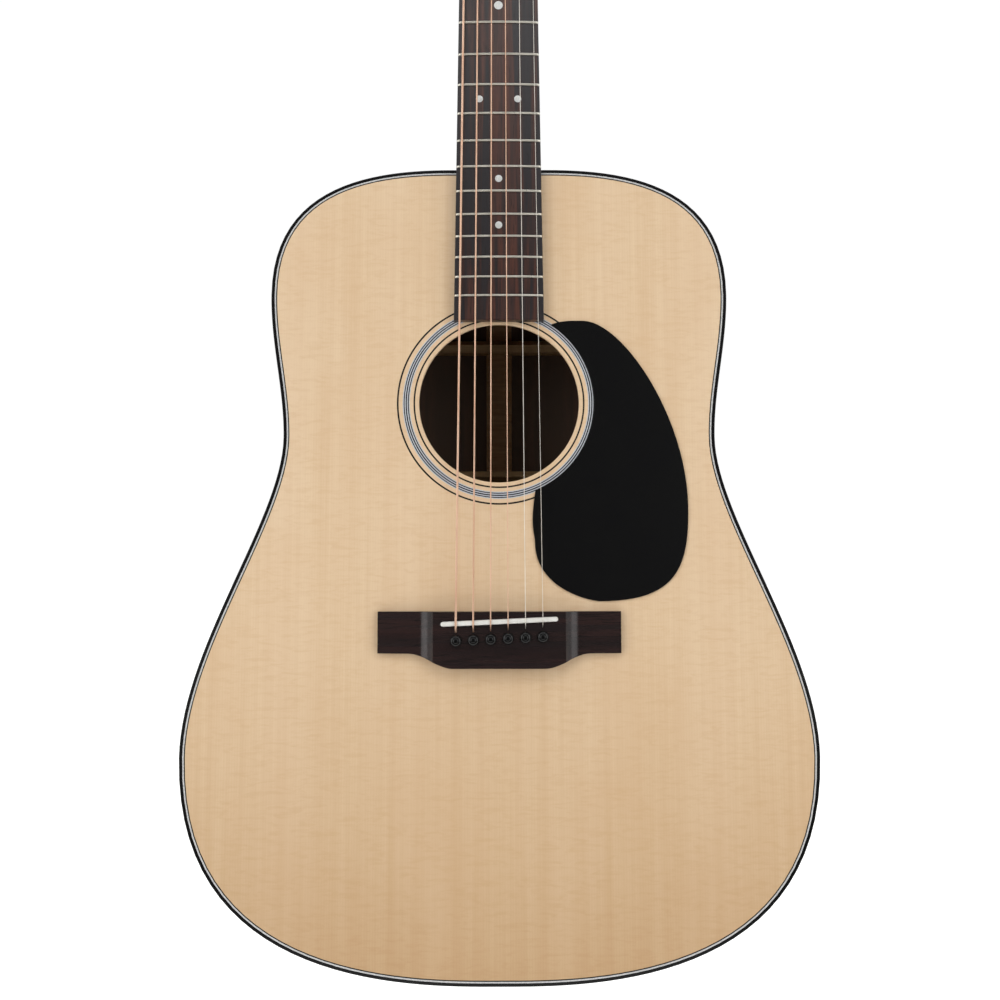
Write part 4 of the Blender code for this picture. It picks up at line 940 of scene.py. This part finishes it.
def make_inner_strip():
    """The cross-grained strip that covers the back's middle joint, with its sides sloped off."""
    low, high = TAIL_Z + TAIL_BLOCK_LENGTH + BLOCK_SETBACK, NECK_END_Z - NECK_BLOCK_LENGTH
    base, ridge, top = STRIP_WIDTH / 2, STRIP_WIDTH * 0.29, -BACK_THICKNESS - 0.0001
    edge, face = top - 0.0004, top - STRIP_THICKNESS
    profile = [(-base, top), (-base, edge), (-ridge, face), (ridge, face), (base, edge), (base, top)]
    mesh = back_strip("back_joint_strip", low, high, 40, profile)
    piece("back_joint_strip", mesh, "strip_wood", "back_centre_strip")


def make_end_graft():
    """A slim wedge let into the ribs' joint at the tail, with a light line on each side."""
    front, rear = BINDING_HEIGHT, back_y(0, TAIL_Z) - BINDING_HEIGHT
    inner = TAIL_Z + 0.0012
    for name, wide, narrow, proud, look in (
            ("end_graft_edges", 0.0115, 0.0068, PROUD, "light_line"),
            ("end_graft", 0.0107, 0.0060, 2 * PROUD, "binding")):
        outer = TAIL_Z - proud
        sections = [[(-half, y, outer), (half, y, outer), (half, y, inner), (-half, y, inner)]
                    for y, half in ((front, wide), (rear, narrow))]
        piece(name, loft(name, sections), look)


def resampled(path, pitch):
    """(point, normal) pairs at equal steps along a path."""
    samples = [path[0]]
    left = pitch
    for near, far in zip(path, path[1:]):
        span = (far[0] - near[0]).length
        gone = 0.0
        while span - gone >= left:
            gone += left
            t = gone / span
            samples.append((near[0].lerp(far[0], t), near[1].lerp(far[1], t).normalized()))
            left = pitch
        left -= span - gone
    return samples


def lining_section(point, normal, reach, side, way):
    a = point + normal * RIB_THICKNESS
    b = point + normal * (RIB_THICKNESS + reach)
    glue = back_y(*b) - BACK_THICKNESS if way < 0 else TOP_THICKNESS
    tall = LINING_HEIGHT * min(1.0, 0.35 + 0.65 * reach / LINING_WIDTH)
    return [(side * a.x, glue, a.y), (side * a.x, glue + way * tall, a.y),
            (side * b.x, glue + way * 0.0022, b.y), (side * b.x, glue, b.y)]


def make_linings():
    """Kerfed linings: a thin web with a row of sawn blocks, so it bends round the ribs."""
    end, web, block = BLOCK_HALF_WIDTH + 0.001, 0.0012, 5
    samples = resampled(part_of_half(end, end), web)
    runs = [(samples, web)]
    runs += [(samples[i:i + block], LINING_WIDTH) for i in range(0, len(samples) - 4, block)]
    for side, hand in HANDS:
        for face, way in (("top", 1), ("back", -1)):
            shape = bmesh.new()
            for run, reach in runs:
                add_loft(shape, [lining_section(*sample, reach, side, way) for sample in run])
            node = "%s_lining_%s" % (face, hand)
            piece("kerfed_" + node, mesh_from(shape, node), "lining_wood", node)


def make_rosette():
    """Rings let into the top: a thin dark line each side of a banded ring."""
    rings = [("rosette_inner_line", 0.05335, 0.05435, "dark_line"),
             ("rosette_outer_line", 0.06385, 0.06490, "dark_line")]
    inner, depth = 0.05670, 0.0008
    for number, width in enumerate((0.00062, 0.00064, 0.00064, 0.00078, 0.00060, 0.00064, 0.00060)):
        look = "dark_line" if number % 2 else "blue_line"
        rings.append(("rosette_band_%d" % (number + 1), inner, inner + width, look))
        inner += width
    for name, inner, outer, look in rings:
        mesh = plate(name, [circle((0, HOLE_Z), outer, 160), circle((0, HOLE_Z), inner, 160)], depth)
        piece(name, facing(mesh, depth / 2 - PROUD), look)


def make_pickguard():
    loop = [point for point, _ in knot_path(GUARD_KNOTS, 24)]
    middle = Vector((0, HOLE_Z))
    first, last = loop[0] - middle, loop[-1] - middle
    start = degrees(atan2(last.y, last.x))
    sweep = degrees(atan2(first.y, first.x)) - start
    loop += circle(middle, GUARD_RADIUS, 48, start, sweep)[1:-1]
    mesh = facing(plate("pickguard", [loop], -GUARD_FRONT, bevel=0.0002), GUARD_FRONT / 2)
    piece("polished_pickguard", mesh, "guard", "pickguard")


# ---- bridge, saddle and pins

def string_break(number):
    """Where a string leaves its pin hole, and where it meets the saddle's rear edge."""
    x, z = pin_places()[number]
    top = -SADDLE_STRING_HEIGHT + crown(x) - STRING_DIAMETERS[number] / 2
    low = Vector((x, -0.0050, z + STRING_IN_HOLE))
    return low, Vector((x, top, saddle_z(x) - SADDLE_THICKNESS / 2 - 0.0003))


def saddle_plan(margin, floor, height):
    """The saddle's long rounded outline, standing forward from a floor in the bridge."""
    radius = SADDLE_THICKNESS / 2 + margin
    middle = (SADDLE_LENGTH - SADDLE_THICKNESS) / 2
    loop = circle((middle, 0), radius, 16, -90, 180) + circle((-middle, 0), radius, 16, 90, 180)
    place = shift(0, floor - height / 2, SADDLE_Z - SADDLE_COMPENSATION)
    turn = Euler((pi / 2, -SADDLE_TILT, 0)).to_matrix().to_4x4()
    return moved(plate("plan", [loop], height), place @ turn)


def make_bridge():
    """A belly bridge: raised between two hollow slopes, with a slot, pin holes and string ramps."""
    belly, belly_end, half, blank = 0.0280, 0.0565, BRIDGE_HALF_WIDTH, 0.012
    corner = BRIDGE_WING_Z + 0.0002
    loop = [(-half, BRIDGE_TOP_Z), (-half, corner)]
    loop += eased((-belly_end, BRIDGE_WING_Z), (-belly, BRIDGE_BELLY_Z), level_ends, 24)[:-1]
    loop += eased((belly, BRIDGE_BELLY_Z), (belly_end, BRIDGE_WING_Z), level_ends, 24)
    loop += [(half, corner), (half, BRIDGE_TOP_Z)]
    plan = facing(plate("bridge", [loop], blank), -blank / 2)

    raised, slope_end, wide = 0.0410, 0.0500, half + 0.002
    profile = [(wide, 0.002), (wide, -BRIDGE_WING_HEIGHT)]
    foot = (slope_end, -BRIDGE_WING_HEIGHT - 0.0004)
    profile += eased(foot, (raised, -BRIDGE_HEIGHT), hollow, 20)
    profile += [(-x, y) for x, y in profile[::-1]]
    cut = moved(plate("profile", [profile], 0.062), shift(0, 0, BRIDGE_WING_Z))
    mesh = bevelled(boolean(plan, [("INTERSECT", cut)]), 0.0005, angle=30)

    tools = [saddle_plan(0.00005, SADDLE_SLOT_FLOOR, 0.010)]
    for number, (x, z) in enumerate(pin_places()):
        low, high = string_break(number)
        ramp_end = low + (high - low).normalized() * 0.0075
        tools.append(cylinder((x, -0.02, z), (x, 0.02, z), PIN_HOLE_RADIUS))
        tools.append(cylinder(low, ramp_end, STRING_DIAMETERS[number] / 2 + 0.00025, 16))
    piece("rosewood_bridge", without(mesh, tools), "bridge_rosewood", "bridge")


def make_saddle():
    half, floor = SADDLE_LENGTH / 2 + 0.001, SADDLE_SLOT_FLOOR - 0.0001
    loop = [(-half, floor), (half, floor)] + crowned_top(half, SADDLE_STRING_HEIGHT, 24)
    turn = Matrix.Rotation(-SADDLE_TILT, 4, "Y")
    bar = plate("saddle", [loop], SADDLE_THICKNESS + 0.001)
    moved(bar, shift(0, 0, SADDLE_Z - SADDLE_COMPENSATION) @ turn)
    mesh = boolean(bar, [("INTERSECT", saddle_plan(0.0, floor + 0.001, 0.010))])
    piece("bone_saddle", bevelled(mesh, 0.0011, 4, 40), "bone", "saddle")


def make_bridge_pins():
    """Tapered pins with a collar and a dished, ringed head, slotted for their string."""
    under = BRIDGE_HEIGHT + 0.0001
    profile = [(0.0, 0.0027), (0.0010, 0.0027), (0.0015, 0.0026), (0.0017, 0.0024),
               (0.0020, 0.0024), (0.0022, 0.0026), (0.0026, 0.0025), (0.0031, 0.0020),
               (0.0035, 0.0012), (0.0036, 0.0006), (0.0035, 0.0001), (0.0031, 0.0),
               (0.00275, 0.0), (0.00275, -0.0008), (PIN_TIP_RADIUS, 0.0015 - PIN_LENGTH),
               (0.0019, 0.0006 - PIN_LENGTH), (0.0012, -PIN_LENGTH), (0.0, -PIN_LENGTH)]
    profile = [(radius, under + z) for radius, z in profile]
    for number, (x, z) in enumerate(pin_places(), start=1):
        slot = box((-0.0009, 0.00095, under - PIN_LENGTH - 0.001), (0.0009, 0.004, under - 0.0002))
        mesh = facing(without(turned(profile), [slot]), 0, x, z)
        node = "bridge_pin_%d" % number
        piece("turned_pin_%d" % number, mesh, "pin", node, node)


def make_end_pin():
    profile = [(0.0, 0.0200), (0.0030, 0.0200), (0.0036, 0.0194), (0.0040, 0.0), (0.0061, 0.0),
               (0.0064, -0.0004), (0.0063, -0.0020), (0.0050, -0.0040), (0.0046, -0.0055),
               (0.0048, -0.0068), (0.0064, -0.0082), (0.0075, -0.0092), (0.0077, -0.0102),
               (0.0074, -0.0114), (0.0064, -0.0122), (0.0052, -0.0125), (0.0, -0.0125)]
    mesh = moved(turned(profile), shift(0, END_PIN_Y, TAIL_Z - 0.0001))
    piece("strap_button", mesh, "pin", "end_pin")


# ---- neck, fingerboard and head

def heel_blend(z):
    reach = (NECK_FACE_Z - z) / (NECK_FACE_Z - HEEL_RIDGE_Z - 0.005)
    return sqrt(max(0.0, 1 - reach * reach))


def neck_depth(z):
    plain = NECK_DEPTH - 0.010 * z
    t = min(1.0, max(0.0, (HEEL_TOP_Z - z) / (HEEL_TOP_Z - HEEL_RIDGE_Z)))
    return plain + (HEEL_DEPTH - plain) * (1 - sqrt(1 - t * t))


def neck_section(z, half, front, depth):
    blend = heel_blend(z)
    ring = []
    for angle in evenly(0, pi, 48):
        across, down = cos(angle), sin(angle)
        straight = 0.0 if angle == pi / 2 else copysign(1 - 0.55 * down, across)
        x = half * ((1 - blend) * across + blend * straight)
        ring.append((x, front + (depth - front) * down, z))
    return ring


def carved_head(blank):
    """The head's blank with its lower back corners carved round, to run into the neck."""
    # height, half width, front, depth, and the power that makes the section squarer
    keys = ((-0.0100, 0.0226, 0.0, 0.0153, 1.0), (-0.0020, 0.0226, 0.0, 0.0153, 1.0),
            (0.0040, 0.0234, 0.0, 0.0176, 0.85), (0.0140, 0.0266, 0.0, 0.0225, 0.60),
            (0.0260, 0.0330, -0.010, 0.0330, 0.40), (0.0450, 0.0500, -0.030, 0.0500, 0.25),
            (0.2000, 0.0600, -0.100, 0.1000, 0.20))
    sections = []
    for z, half, front, depth, power in smooth_run(keys, 6):
        ring = []
        for angle in evenly(0, pi, 40):
            x = copysign(abs(cos(angle)) ** power, cos(angle))
            ring.append((half * x, front + (depth - front) * sin(angle) ** power, z))
        sections.append(ring)
    return boolean(blank, [("INTERSECT", loft("carving", sections))])


def head_loop(bottom):
    half = [point for point, _ in knot_path(HEAD_KNOTS, 24)]
    half = [Vector((half[0].x, bottom))] + [point for point in half if point.y > bottom + 0.0005]
    return half + mirror(half[:-1])


def make_neck():
    """Handle, heel and volute in one sweep, joined to the head and bored for the posts."""
    volute = ((0.0375, 0.0020, 0.0126, 0.0234), (0.030, 0.0085, 0.0105, 0.0231),
              (0.018, 0.0152, 0.0070, 0.0208), (NUT_LENGTH + 0.0001, 0.0215, 0.0030, 0.0162))
    sections = [neck_section(*key) for key in smooth_run(volute, 8)]
    heights = [NUT_LENGTH - 0.0001, 0.0, -0.05, -0.10, -0.15, -0.20, -0.25]
    heights += [HEEL_TOP_Z + (HEEL_RIDGE_Z - HEEL_TOP_Z) * sin(angle)
                for angle in evenly(0, pi / 2, 28)]
    heights += evenly(HEEL_RIDGE_Z, NECK_FACE_Z, 14)[1:]
    sections += [neck_section(z, board_half_width(z), 0.0, neck_depth(z)) for z in heights]
    blank = bevelled(plate("head", [head_loop(HEAD_KNOTS[0][1])], HEAD_THICKNESS), 0.0009)
    moved(blank, HEAD_FRAME @ shift(0, 0, -HEAD_THICKNESS / 2))
    steps = [("UNION", carved_head(blank))]
    for side, up, out in tuner_places():
        hole = cylinder((side * out, up, -0.03), (side * out, up, 0.02), POST_RADIUS + 0.0001)
        steps.append(("DIFFERENCE", moved(hole, HEAD_FRAME)))
    piece("mahogany_neck", boolean(loft("neck", sections), steps), "mahogany", "neck", sharp=42)


def make_heel_cap():
    thickness = 0.0034
    half = [Vector((HEEL_CAP_HALF_WIDTH * heel_blend(z) + 0.0004, z))
            for z in evenly(NECK_FACE_Z, HEEL_RIDGE_Z + 0.0008, 24)]
    mesh = bevelled(plate("heel_cap", [half + mirror(half)], thickness), 0.0005)
    mesh = facing(mesh, HEEL_DEPTH + 0.0030 - thickness / 2)
    piece("heel_cap_plate", mesh, "binding", "heel_cap")


def make_head_plate():
    loops = [head_loop(0.0002)]
    for side, up, out in tuner_places():
        loops.append(circle((side * out, up), POST_RADIUS + 0.0001, 32))
    mesh = bevelled(plate("head_plate", loops, HEAD_PLATE_FRONT), 0.0005, angle=60)
    moved(mesh, HEAD_FRAME @ shift(0, 0, HEAD_PLATE_FRONT / 2))
    piece("head_face_plate", mesh, "head_rosewood", "head_plate")


def make_nut():
    half, low, high = NUT_WIDTH / 2, -0.002, NUT_LENGTH + 0.002
    loop = [(-half, 0.0), (half, 0.0)] + crowned_top(half, NUT_STRING_HEIGHT + 0.0007, 20)
    bar = moved(plate("nut", [loop], NUT_LENGTH), shift(0, 0, NUT_LENGTH / 2))
    tools = []
    for number, diameter in enumerate(STRING_DIAMETERS):
        x = string_x(number, NUT_SPREAD)
        y = -NUT_STRING_HEIGHT + crown(x) - diameter / 2
        radius = diameter / 2 + 0.00006
        tools.append(cylinder((x, y, low), (x, y, high), radius, 16))
        tools.append(box((x - radius, y - 0.003, low), (x + radius, y, high)))
    piece("bone_nut", without(bevelled(bar, 0.0006), tools), "bone", "nut")


def make_fingerboard():
    sections = []
    for z in (0.0, FINGERBOARD_END):
        half = board_half_width(z)
        ring = [(half, 0.0), *crowned_top(half, FINGERBOARD_HEIGHT, 16), (-half, 0.0)]
        sections.append([(x, y, z) for x, y in ring])
    mesh = bevelled(loft("board", sections), 0.0004, 2)
    piece("rosewood_fingerboard", mesh, "board_rosewood", "fingerboard")


def make_frets():
    """Half-round wires across the board, their ends filed to a slope."""
    stations = [(1.0, 0.05), (0.986, 0.55), (0.965, 0.9), (0.94, 1.0)]
    stations += [(1 - 0.1 * i, 1.0) for i in range(1, 20)]
    stations += [(-share, tall) for share, tall in stations[3::-1]]
    wire, foot = FRET_WIDTH / 2, 0.0003
    for number in range(1, FRET_COUNT + 1):
        z = fret_z(number)
        half = board_half_width(z) - 0.0002
        sections = []
        for share, tall in stations:
            x = half * share
            top = -FINGERBOARD_HEIGHT + crown(x)
            arch = [(x, top - FRET_HEIGHT * tall * sin(angle), z + wire * cos(angle))
                    for angle in evenly(0, pi, 8)[1:-1]]
            sections.append([(x, top + foot, z + wire), (x, top, z + wire), *arch,
                             (x, top, z - wire), (x, top + foot, z - wire)])
        name = "fret_%02d" % number
        piece(name, loft(name, sections), "fret", sharp=50)


def dot(radius, edge, segments=48):
    return turned([(0.0, PROUD), (radius - edge, PROUD), (radius, 0.0), (radius, -0.001),
                   (0.0, -0.001)], segments)


def make_dots():
    """Pearl dots in the board's face, and small ones in its bass edge."""
    for fret, x, radius, hand in (
            (5, 0.0, 0.0028, ""), (7, 0.0, 0.0028, ""), (9, 0.0, 0.0028, ""),
            (12, -0.01235, 0.0023, "_bass"), (12, 0.01235, 0.0023, "_treble"),
            (15, 0.0, 0.0023, ""), (17, 0.0, 0.0023, "")):
        z = (fret_z(fret) + fret_z(fret - 1)) / 2
        place = shift(x, -FINGERBOARD_HEIGHT + crown(x), z)
        tilt = Matrix.Rotation(x / CROSS_RADIUS, 4, "Z")
        mesh = moved(dot(radius, 0.0001), place @ tilt @ FACE_ON)
        piece("dot_%02d%s" % (fret, hand), mesh, "pearl")
    for fret in (3, 5, 7, 9, 12, 15, 17):
        z = (fret_z(fret) + fret_z(fret - 1)) / 2
        place = shift(-board_half_width(z), -0.0036, z) @ Matrix.Rotation(-pi / 2, 4, "Y")
        piece("side_dot_%02d" % fret, moved(dot(0.0010, 0.0001, 24), place), "bone")


# ---- strings

def coil_on_post(number, nut_point, radius):
    side, up, out = tuner_places()[number]
    post = Vector((side * out, up))
    reach = POST_RADIUS + radius
    from_nut = HEAD_FRAME.inverted() @ nut_point
    way = (post - side * Vector((reach, 0)) - from_nut.xy).normalized()
    start = atan2(side * way.x, -side * way.y)
    points = []
    for turn in evenly(0, COIL_TURNS, COIL_TURNS * 40):
        angle = start - side * 2 * pi * turn
        flat = post + reach * Vector((cos(angle), sin(angle)))
        drop = (2 * radius + 0.0001) * turn
        points.append(HEAD_FRAME @ Vector((flat.x, flat.y, COIL_TOP - drop)))
    return points


def string_route(number):
    """From the ball under the bridge, over saddle and nut, to the coil on the post."""
    radius = STRING_DIAMETERS[number] / 2
    pin_x, pin_z = pin_places()[number]
    nut_x = string_x(number, NUT_SPREAD)
    beside = pin_z + STRING_IN_HOLE
    low, high = string_break(number)
    nut_top = -NUT_STRING_HEIGHT + crown(nut_x) - radius
    route = [
        Vector((pin_x, BALL_Y, pin_z + PIN_TIP_RADIUS + BALL_RADIUS + 0.0003)),
        Vector((pin_x, BALL_Y, beside + 0.0006)),
        Vector((pin_x, BALL_Y - 0.0006, beside)),
        low,
        high,
        Vector((pin_x, high.y, saddle_z(pin_x) + 0.0006)),
        Vector((nut_x, nut_top, 0.0004)),
        Vector((nut_x, nut_top, NUT_LENGTH - 0.0006)),
    ]
    coil = coil_on_post(number, route[-1], radius)
    return rounded(route + coil[:1], 0.0012) + coil[1:]


def make_strings():
    """Two plain and four wound strings, each with the brass ball at its end."""
    half = Vector((0.0015, 0, 0))
    for number, diameter in enumerate(STRING_DIAMETERS, start=1):
        look, slot = ("plain_wire", "steel_wire") if number <= 2 else ("wound_bronze", "bronze_wire")
        route = string_route(number - 1)
        wire = tube("wire", route, diameter / 2)
        piece("wire_%d" % number, wire, look, "string_%d" % number)
        ball = bevelled(cylinder(route[0] - half, route[0] + half, BALL_RADIUS, 24), 0.0004, angle=35)
        piece("ball_end_%d" % number, ball, "brass")


# ---- tuning machines

def make_screw(name, place):
    """A domed wood screw's head with a cross recess, facing along the frame's -Z."""
    radius, long, thin = 0.0023, 0.0011, 0.0002
    profile = [(0.0, 0.0012), (radius * 0.35, 0.00115), (radius * 0.7, 0.0009),
               (radius * 0.95, 0.0004), (radius, 0.0), (radius, -0.0004), (0.0, -0.0004)]
    cross = [box((-x, -y, 0.0005), (x, y, 0.002)) for x, y in ((thin, long), (long, thin))]
    head = without(turned(profile, 32), cross)
    piece(name, moved(head, place @ Matrix.Rotation(pi, 4, "X")), "screw")


def make_tuner_plate(number, frame, hand):
    """Base plate with two ears that carry the worm, two screws, and the post's front bushing."""
    thickness, top, bore, ear = 0.0012, -HEAD_THICKNESS, POST_RADIUS + 0.0001, 0.0032
    outline = circle((0, 0.0090), 0.0085, 24, 0, 180) + circle((0, -0.0115), 0.0085, 24, 180, 180)
    base = plate("base", [outline, circle((0, 0), bore, 32)], thickness, bevel=0.0003)
    meshes = [moved(base, shift(0, 0, top - thickness / 2))]
    # an ear's outline, across the head and out of it, is rounded round the shaft's bearing
    worm = (-WORM_DISTANCE, WORM_DEPTH)
    loop = [(worm[0] + ear, top - thickness / 2), (worm[0] - ear, top - thickness / 2)]
    loop += circle(worm, ear, 16, 180, 180)
    # the outline's axes become the frame's Y and Z
    turn = Matrix(((0, 0, 1, 0), (1, 0, 0, 0), (0, 1, 0, 0), (0, 0, 0, 1)))
    for x in (EAR_INNER, -EAR_INNER - EAR_THICKNESS):
        loops = [loop, circle(worm, SHAFT_RADIUS + 0.0001, 24)]
        mesh = plate("ear", loops, EAR_THICKNESS, bevel=0.0002)
        meshes.append(moved(mesh, shift(x + EAR_THICKNESS / 2, 0, 0) @ turn))
    mesh = moved(merged(meshes), frame @ hand)
    piece("machine_plate_%d" % number, mesh, "nickel", "tuner_plate_%d" % number)
    for index, y in enumerate((0.0125, -0.0152), start=1):
        place = frame @ shift(0, y, top - thickness)
        make_screw("tuner_screw_%d_%d" % (number, index), place)
    ring = [(bore, 0.0012), (0.0040, 0.0012), (0.0048, 0.0008), (0.0052, 0.0),
            (0.0052, -0.0002), (bore, -0.0002)]
    bushing = loft("bushing", around(ring, 48), closed=True)
    moved(bushing, frame @ shift(0, 0, HEAD_PLATE_FRONT))
    piece("tuner_bushing_%d" % number, bushing, "nickel")


def gear_loop():
    tip = GEAR_PITCH_RADIUS + TOOTH_REACH
    root = GEAR_PITCH_RADIUS - TOOTH_REACH - 0.0002
    flank = [(root, -1), (GEAR_PITCH_RADIUS, -1), (tip, -1)]
    flank += [(radius, 1) for radius, _ in flank[::-1]]
    loop = []
    for tooth in range(GEAR_TEETH):
        middle = -90 + 360 * tooth / GEAR_TEETH
        for radius, side in flank:
            half = 0.20 * THREAD_PITCH - (radius - GEAR_PITCH_RADIUS) * TOOTH_SLOPE
            loop.append(radius * heading(middle + side * degrees(half / radius)))
    return loop


def make_tuner_post(number, hand_frame):
    """The post, bored for its string, with its gear wheel and a slotted screw end."""
    under = GEAR_TOP - GEAR_THICKNESS
    bottom = under - 0.0010
    profile = [(0.0, POST_TOP), (0.0018, POST_TOP), (0.0026, POST_TOP - 0.0003),
               (POST_RADIUS, POST_TOP - 0.0010), (POST_RADIUS, 0.0138), (0.0028, 0.0131),
               (0.0026, 0.0122), (0.0028, 0.0113), (POST_RADIUS, COIL_TOP + 0.0008),
               (POST_RADIUS, under), (0.0026, under), (0.0024, bottom + 0.0002),
               (0.0020, bottom), (0.0, bottom)]
    hole = cylinder((-0.01, 0, 0.0122), (0.01, 0, 0.0122), 0.0008, 20)
    slot = box((-0.004, -0.0003, bottom - 0.001), (0.004, 0.0003, bottom + 0.0006))
    wheel = moved(plate("wheel", [gear_loop()], GEAR_THICKNESS), shift(0, 0, WORM_DEPTH))
    steps = [("DIFFERENCE", hole), ("UNION", wheel), ("DIFFERENCE", slot)]
    mesh = moved(boolean(turned(profile), steps), hand_frame)
    node = "tuner_post_%d" % number
    piece("machine_post_%d" % number, mesh, "nickel", node, node)


def worm_thread():
    turns, steps = 3, 28
    root, tip = WORM_CORE_RADIUS - 0.0003, WORM_PITCH_RADIUS + TOOTH_REACH
    sections = []
    for step in range(turns * steps + 1):
        turn = step / steps - turns / 2
        angle = 2 * pi * (turn + 0.5)
        ring = []
        for radius, edge in ((root, -1), (tip, -1), (tip, 1), (root, 1)):
            half = 0.18 * THREAD_PITCH - (radius - WORM_PITCH_RADIUS) * TOOTH_SLOPE
            x = THREAD_PITCH * turn + edge * half
            ring.append((x, radius * cos(angle), radius * sin(angle)))
        sections.append(ring)
    return loft("thread", sections)


def button_mesh():
    """An oval button, a little squarer than an ellipsoid, dished on both faces."""
    power = 2.6
    shape = bmesh.new()
    bmesh.ops.create_uvsphere(shape, u_segments=48, v_segments=24, radius=1)
    for vertex in shape.verts:
        x, y, z = vertex.co
        squarer = (abs(x) ** power + abs(y) ** power) ** (1 / power)
        swell = hypot(x, y) / squarer if squarer > 0.0001 else 1.0
        dish = 1 - 0.12 * exp(-4 * (x * x + y * y))
        vertex.co = (0.0216 + 0.0068 * x * swell, 0.0085 * y * swell, 0.0034 * z * dish)
    return mesh_from(shape, "button")


def make_tuner_knob(number, hand_frame):
    """The worm on its shaft, a collar and the button, all one piece."""
    inner, shoulder = -EAR_INNER - EAR_THICKNESS, EAR_INNER - 0.0001
    profile = [(0.0, 0.0205), (SHAFT_RADIUS, 0.0205), (SHAFT_RADIUS, 0.0152), (0.0026, 0.0150),
               (0.0030, 0.0146), (0.0030, 0.0138), (0.0026, 0.0134), (SHAFT_RADIUS, 0.0130),
               (SHAFT_RADIUS, shoulder), (WORM_CORE_RADIUS, shoulder),
               (WORM_CORE_RADIUS, -shoulder), (SHAFT_RADIUS, -shoulder),
               (SHAFT_RADIUS, inner), (0.0012, inner - 0.0003), (0.0, inner - 0.0003)]
    shaft = moved(turned(profile, 32), Matrix.Rotation(pi / 2, 4, "Y"))
    mesh = boolean(shaft, [("UNION", worm_thread()), ("UNION", button_mesh())])
    moved(mesh, hand_frame @ shift(0, -WORM_DISTANCE, WORM_DEPTH))
    node = "tuner_knob_%d" % number
    piece("machine_knob_%d" % number, mesh, "nickel", node, node)


def make_tuners():
    for number, (side, up, out) in enumerate(tuner_places(), start=1):
        frame = HEAD_FRAME @ shift(side * out, up, 0)
        hand = Matrix.Scale(side, 4, (1, 0, 0))
        make_tuner_plate(number, frame, hand)
        make_tuner_post(number, frame @ hand)
        make_tuner_knob(number, frame @ hand)


# ---- carried-over CAD nodes

def dress_nodes(nodes):
    """Give each CAD node that still shows its finished material."""
    kinds = {
        "mahogany": ("neck_block", "tail_block"),
        "brace_up": ("x_brace",),
        "brace_across": ("upper_transverse_brace", "back_brace_1", "back_brace_2",
                         "back_brace_3", "back_brace_4"),
        "plate_maple": ("bridge_plate",),
        "steel": ("truss_rod",),
    }
    for look, names in kinds.items():
        for name in names:
            materials = nodes[name].data.materials
            materials.clear()
            materials.append(LOOKS[look][0])


# ---- stage, light and camera

def make_floor():
    """A pale sheet that ends before the guitar's front, so that dark gloss doesn't mirror it."""
    reach, front = 12.0, 0.6
    shape = bmesh.new()
    bmesh.ops.create_grid(shape, x_segments=8, y_segments=8, size=reach)
    bmesh.ops.translate(shape, verts=shape.verts, vec=(0, reach - front, 0))
    floor = placed("floor", mesh_from(shape, "floor"))
    floor.data.materials.append(LOOKS["floor_paint"][0])
    floor.location = (0, 0, -1.10)


def make_world():
    """A white backdrop that lights softly, less from the front, so that dark gloss stays dark."""
    world = bpy.data.worlds.new("studio")
    world.use_nodes = True
    tree, full = world.node_tree, 1.02
    place = add_node(tree, "TexCoord").outputs["Generated"]
    depth = add_node(tree, "SeparateXYZ", [(0, place)]).outputs[1]
    span = [("Value", depth), ("From Min", -0.75), ("From Max", 0.05), ("To Min", 0.13), ("To Max", full)]
    dimmed = add_node(tree, "MapRange", span, interpolation_type="SMOOTHSTEP").outputs[0]
    seen = add_node(tree, "LightPath").outputs["Is Camera Ray"]
    level = add_node(tree, "Mix", [(0, seen), (2, dimmed), (3, full)]).outputs[0]
    background = tree.nodes["Background"]
    background.inputs["Color"].default_value = (1, 1, 1, 1)
    tree.links.new(level, background.inputs["Strength"])
    bpy.context.scene.world = world


def make_lights():
    middle = Vector((0.0, 0.0, -0.58))
    for name, place, size, power in (
            ("left_softbox", (-1.1, -1.0, -0.40), (1.1, 1.2), 9.4),
            ("right_softbox", (1.1, -1.0, -0.40), (1.1, 1.2), 8.5),
            ("top_softbox", (0.0, -1.05, 0.55), (1.6, 0.5), 6.2),
            ("rear_softbox", (0.6, 1.6, 0.3), (1.4, 1.0), 6)):
        lamp = bpy.data.lights.new(name, "AREA")
        lamp.shape = "RECTANGLE"
        lamp.size, lamp.size_y = size
        lamp.energy = power
        holder = placed(name, lamp)
        holder.location = place
        holder.rotation_euler = (middle - Vector(place)).to_track_quat("-Z", "Y").to_euler()


def make_camera():
    """The camera stands 0.57 m in front of the bridge and looks up by a few degrees."""
    sensor, focal_share, rise, roll = 36.0, 0.9138, 0.072827, -0.0016
    lens = bpy.data.cameras.new("camera")
    lens.sensor_width = sensor
    lens.lens = sensor * focal_share
    camera = placed("camera", lens)
    camera.location = (0.000525, -0.574736, SADDLE_Z + 0.031567)
    tilt = Matrix.Rotation(pi / 2 + rise, 4, "X") @ Matrix.Rotation(roll, 4, "Z")
    camera.rotation_euler = tilt.to_euler()
    bpy.context.scene.camera = camera


def main():
    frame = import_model()
    bpy.context.scene.view_settings.view_transform = "Standard"
    for make in (make_camera, make_world, make_lights, make_materials, make_floor,
                 make_soundboard, make_edges, make_ribs, make_back, make_inner_strip,
                 make_end_graft, make_linings, make_rosette, make_pickguard,
                 make_bridge, make_saddle, make_bridge_pins, make_end_pin,
                 make_neck, make_heel_cap, make_head_plate, make_nut, make_fingerboard,
                 make_frets, make_dots, make_strings, make_tuners):
        make()
    dress_nodes(frame["nodes"])


main()
